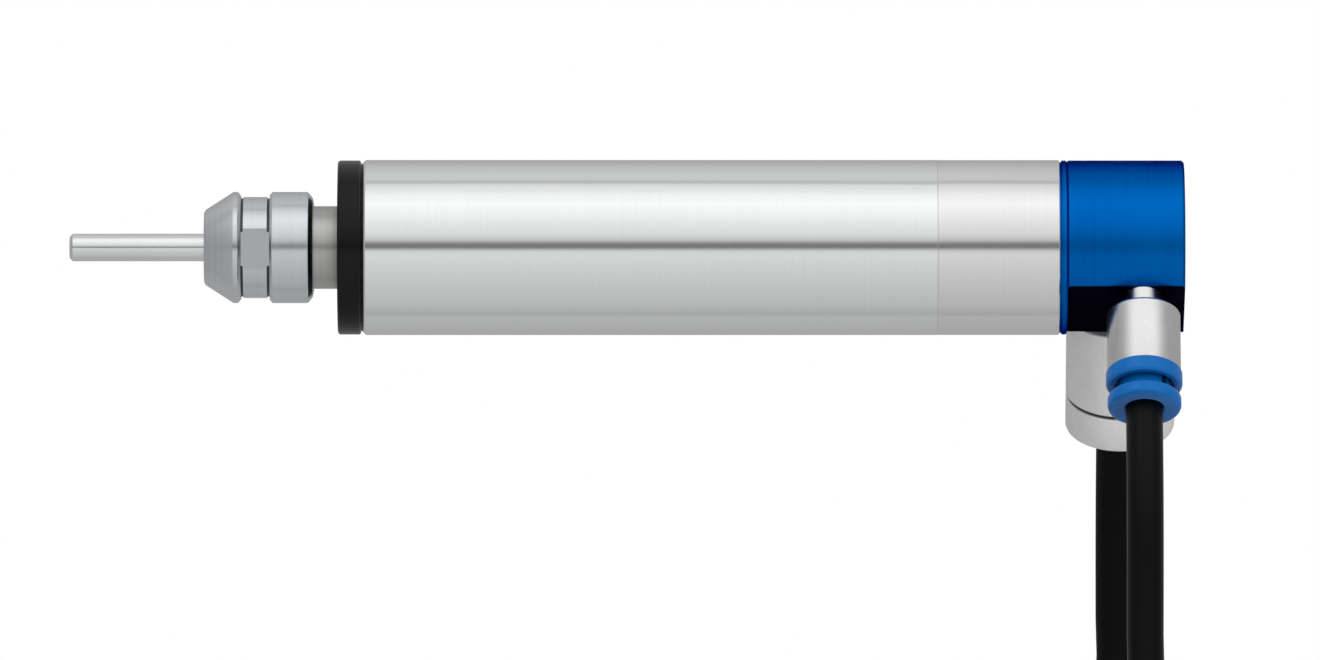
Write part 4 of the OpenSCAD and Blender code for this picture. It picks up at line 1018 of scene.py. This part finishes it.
# %% Connector shell
SHELL_RADIUS = 5.5
GRIPS = 7
grips = [(12, 2.6), (12, SHELL_RADIUS - 0.2), (12.2, SHELL_RADIUS)]
for number in range(GRIPS):
    start = 15 + 1.1 * number
    grips += [(start, SHELL_RADIUS), (start + 0.15, SHELL_RADIUS - 0.18),
              (start + 0.45, SHELL_RADIUS - 0.18), (start + 0.6, SHELL_RADIUS)]
grips += [(26.45, SHELL_RADIUS), (26.45, 4.85), (30.6, 4.85), (30.6, 3.95), (14, 3.95), (14, 2.6)]
shell = lathe("shell_turned", grips, ON_PLUG, hollow=True, segments=96)
soften(shell, 0.05)
dress(shell, "plug_metal", "root", ["plug_shell"])

# %% [markdown]
# The coupling ring turns on the shell, and has grooves for the fingers. They could be part of a star-shaped
# outline, but a rod beside the axis is simpler: it is modelled once, copied round the axis and cut out.

# %% Coupling ring
GROOVES = 18
coupling = lathe("coupling_turned", [(26.6, 4.9), (26.6, 6.4), (27.2, PLUG_RADIUS), (40.0, PLUG_RADIUS),
                                     (40.6, 6.4), (40.6, 5.95), (30.6, 5.95), (30.6, 4.9)],
                 ON_PLUG, hollow=True)
groove = lathe("groove", [(28.1, 0.6), (39.1, 0.6)], at(PLUG_RADIUS + 0.35, 0, 0), segments=24)
groove_places = [ON_PLUG @ turn((number + 0.5) * 360 / GROOVES, "Z") for number in range(GROOVES)]
cut(coupling, copies(groove, groove_places))
soften(coupling, 0.07)
dress(coupling, "plug_metal", "coupling", ["plug_ring"])

# %% [markdown]
# The air hose simply ends in a square cut, which shows its bore. A curve can only close its end with a flat
# cap, so a short piece of real tube makes the last four millimetres.

# %% Hose end
HOSE_Y = -6.9
HOSE_BORE = 2.5
hose_end = lathe("hose_end", [(0, HOSE_BORE / 2), (0, HOSE_D / 2), (4, HOSE_D / 2), (4, HOSE_BORE / 2)],
                 at(ends("hose_tail")[0], HOSE_Y, TABLE + HOSE_D / 2) @ ON_AXIS, hollow=True, segments=64)
soften(hose_end, 0.06)
dress(hose_end, "hose_jacket")

# %% [markdown]
# A strap holds each coil. A cloth simulation would be a long way round to so small a band. It starts as a
# box round the coil's section, loses its two ends, gets round corners and then a thickness, and a short
# tongue lies over it where it is closed.

# %% Straps
def strap(name, middle, mean_radius, diameter):
    """A webbing band round a coil's section, in mm."""
    half = 1.5 * diameter + GAP
    height = 4 * diameter + 3 * GAP
    x = middle[0] + mean_radius
    band = block((2 * half, 8, height), at(x, middle[1], TABLE + height / 2))
    band.name = name
    only(band)
    bpy.ops.object.mode_set(mode="EDIT")
    bpy.ops.mesh.select_mode(type="FACE")
    bpy.ops.mesh.select_all(action="DESELECT")
    bpy.ops.object.mode_set(mode="OBJECT")
    for face in band.data.polygons:
        face.select = abs(face.normal.y) > 0.9
    bpy.ops.object.mode_set(mode="EDIT")
    bpy.ops.mesh.delete(type="ONLY_FACE")
    bpy.ops.mesh.select_mode(type="EDGE")
    bpy.ops.mesh.select_all(action="DESELECT")
    bpy.ops.object.mode_set(mode="OBJECT")
    corners = band.data.vertices
    for edge in band.data.edges:
        first, second = (corners[number].co for number in edge.vertices)
        edge.select = abs(first.y - second.y) > MM
    bpy.ops.object.mode_set(mode="EDIT")
    bpy.ops.mesh.bevel(offset=2 * MM, segments=6)
    bpy.ops.object.mode_set(mode="OBJECT")
    wall = band.modifiers.new("wall", "SOLIDIFY")
    wall.thickness = 0.6 * MM
    wall.offset = -1
    tongue = block((2 * half - 6, 6.4, 0.5), at(x, middle[1], TABLE + height + 0.2))
    apply_all(band)
    band = join([band, tongue])
    soften(band, 0.12, segments=2)
    return dress(band, "strap", "root", ["coil_straps"])


cord_strap = strap("cord_strap", CORD_MIDDLE, CORD_MEAN, CORD_D)
hose_strap = strap("hose_strap", HOSE_MIDDLE, HOSE_MEAN, HOSE_D)

# %% [markdown]
# Now the cord and the hose get their finishes, and the CAD nodes of their strands, coils and tails are
# hidden. In the photograph nothing lies under the spindle, and a coil there would show in the polished
# tube as a large dark ring, so what is put away isn't mirrored.

# %% Cord and hose
dress(motor_cord, "cord_jacket", "root", ["motor_cord", "cord_coil", "cord_tail"])
dress(air_hose, "hose_jacket", "root", ["air_hose", "hose_coil", "hose_tail"])
contacts = [nodes["plug_insert"], nodes["plug_contacts"]]
for piece in [motor_cord, air_hose, cord_strap, hose_strap, boot, shell, coupling, hose_end, *contacts]:
    piece.visible_glossy = False

# %% [markdown]
# The parts inside the spindle keep their CAD shape, which is right, and take the finish that their slot in
# the record names. The nodes that a piece stands for are hidden, and get one as well.

# %% CAD nodes
for part in frame["record"]["subparts"]:
    node = nodes[part["node"]]
    finish = finishes[part["material_slot"]]
    if not node.data.materials:
        node.data.materials.append(finish)
    for holder in node.material_slots:
        holder.material = finish
print("CAD nodes finished")
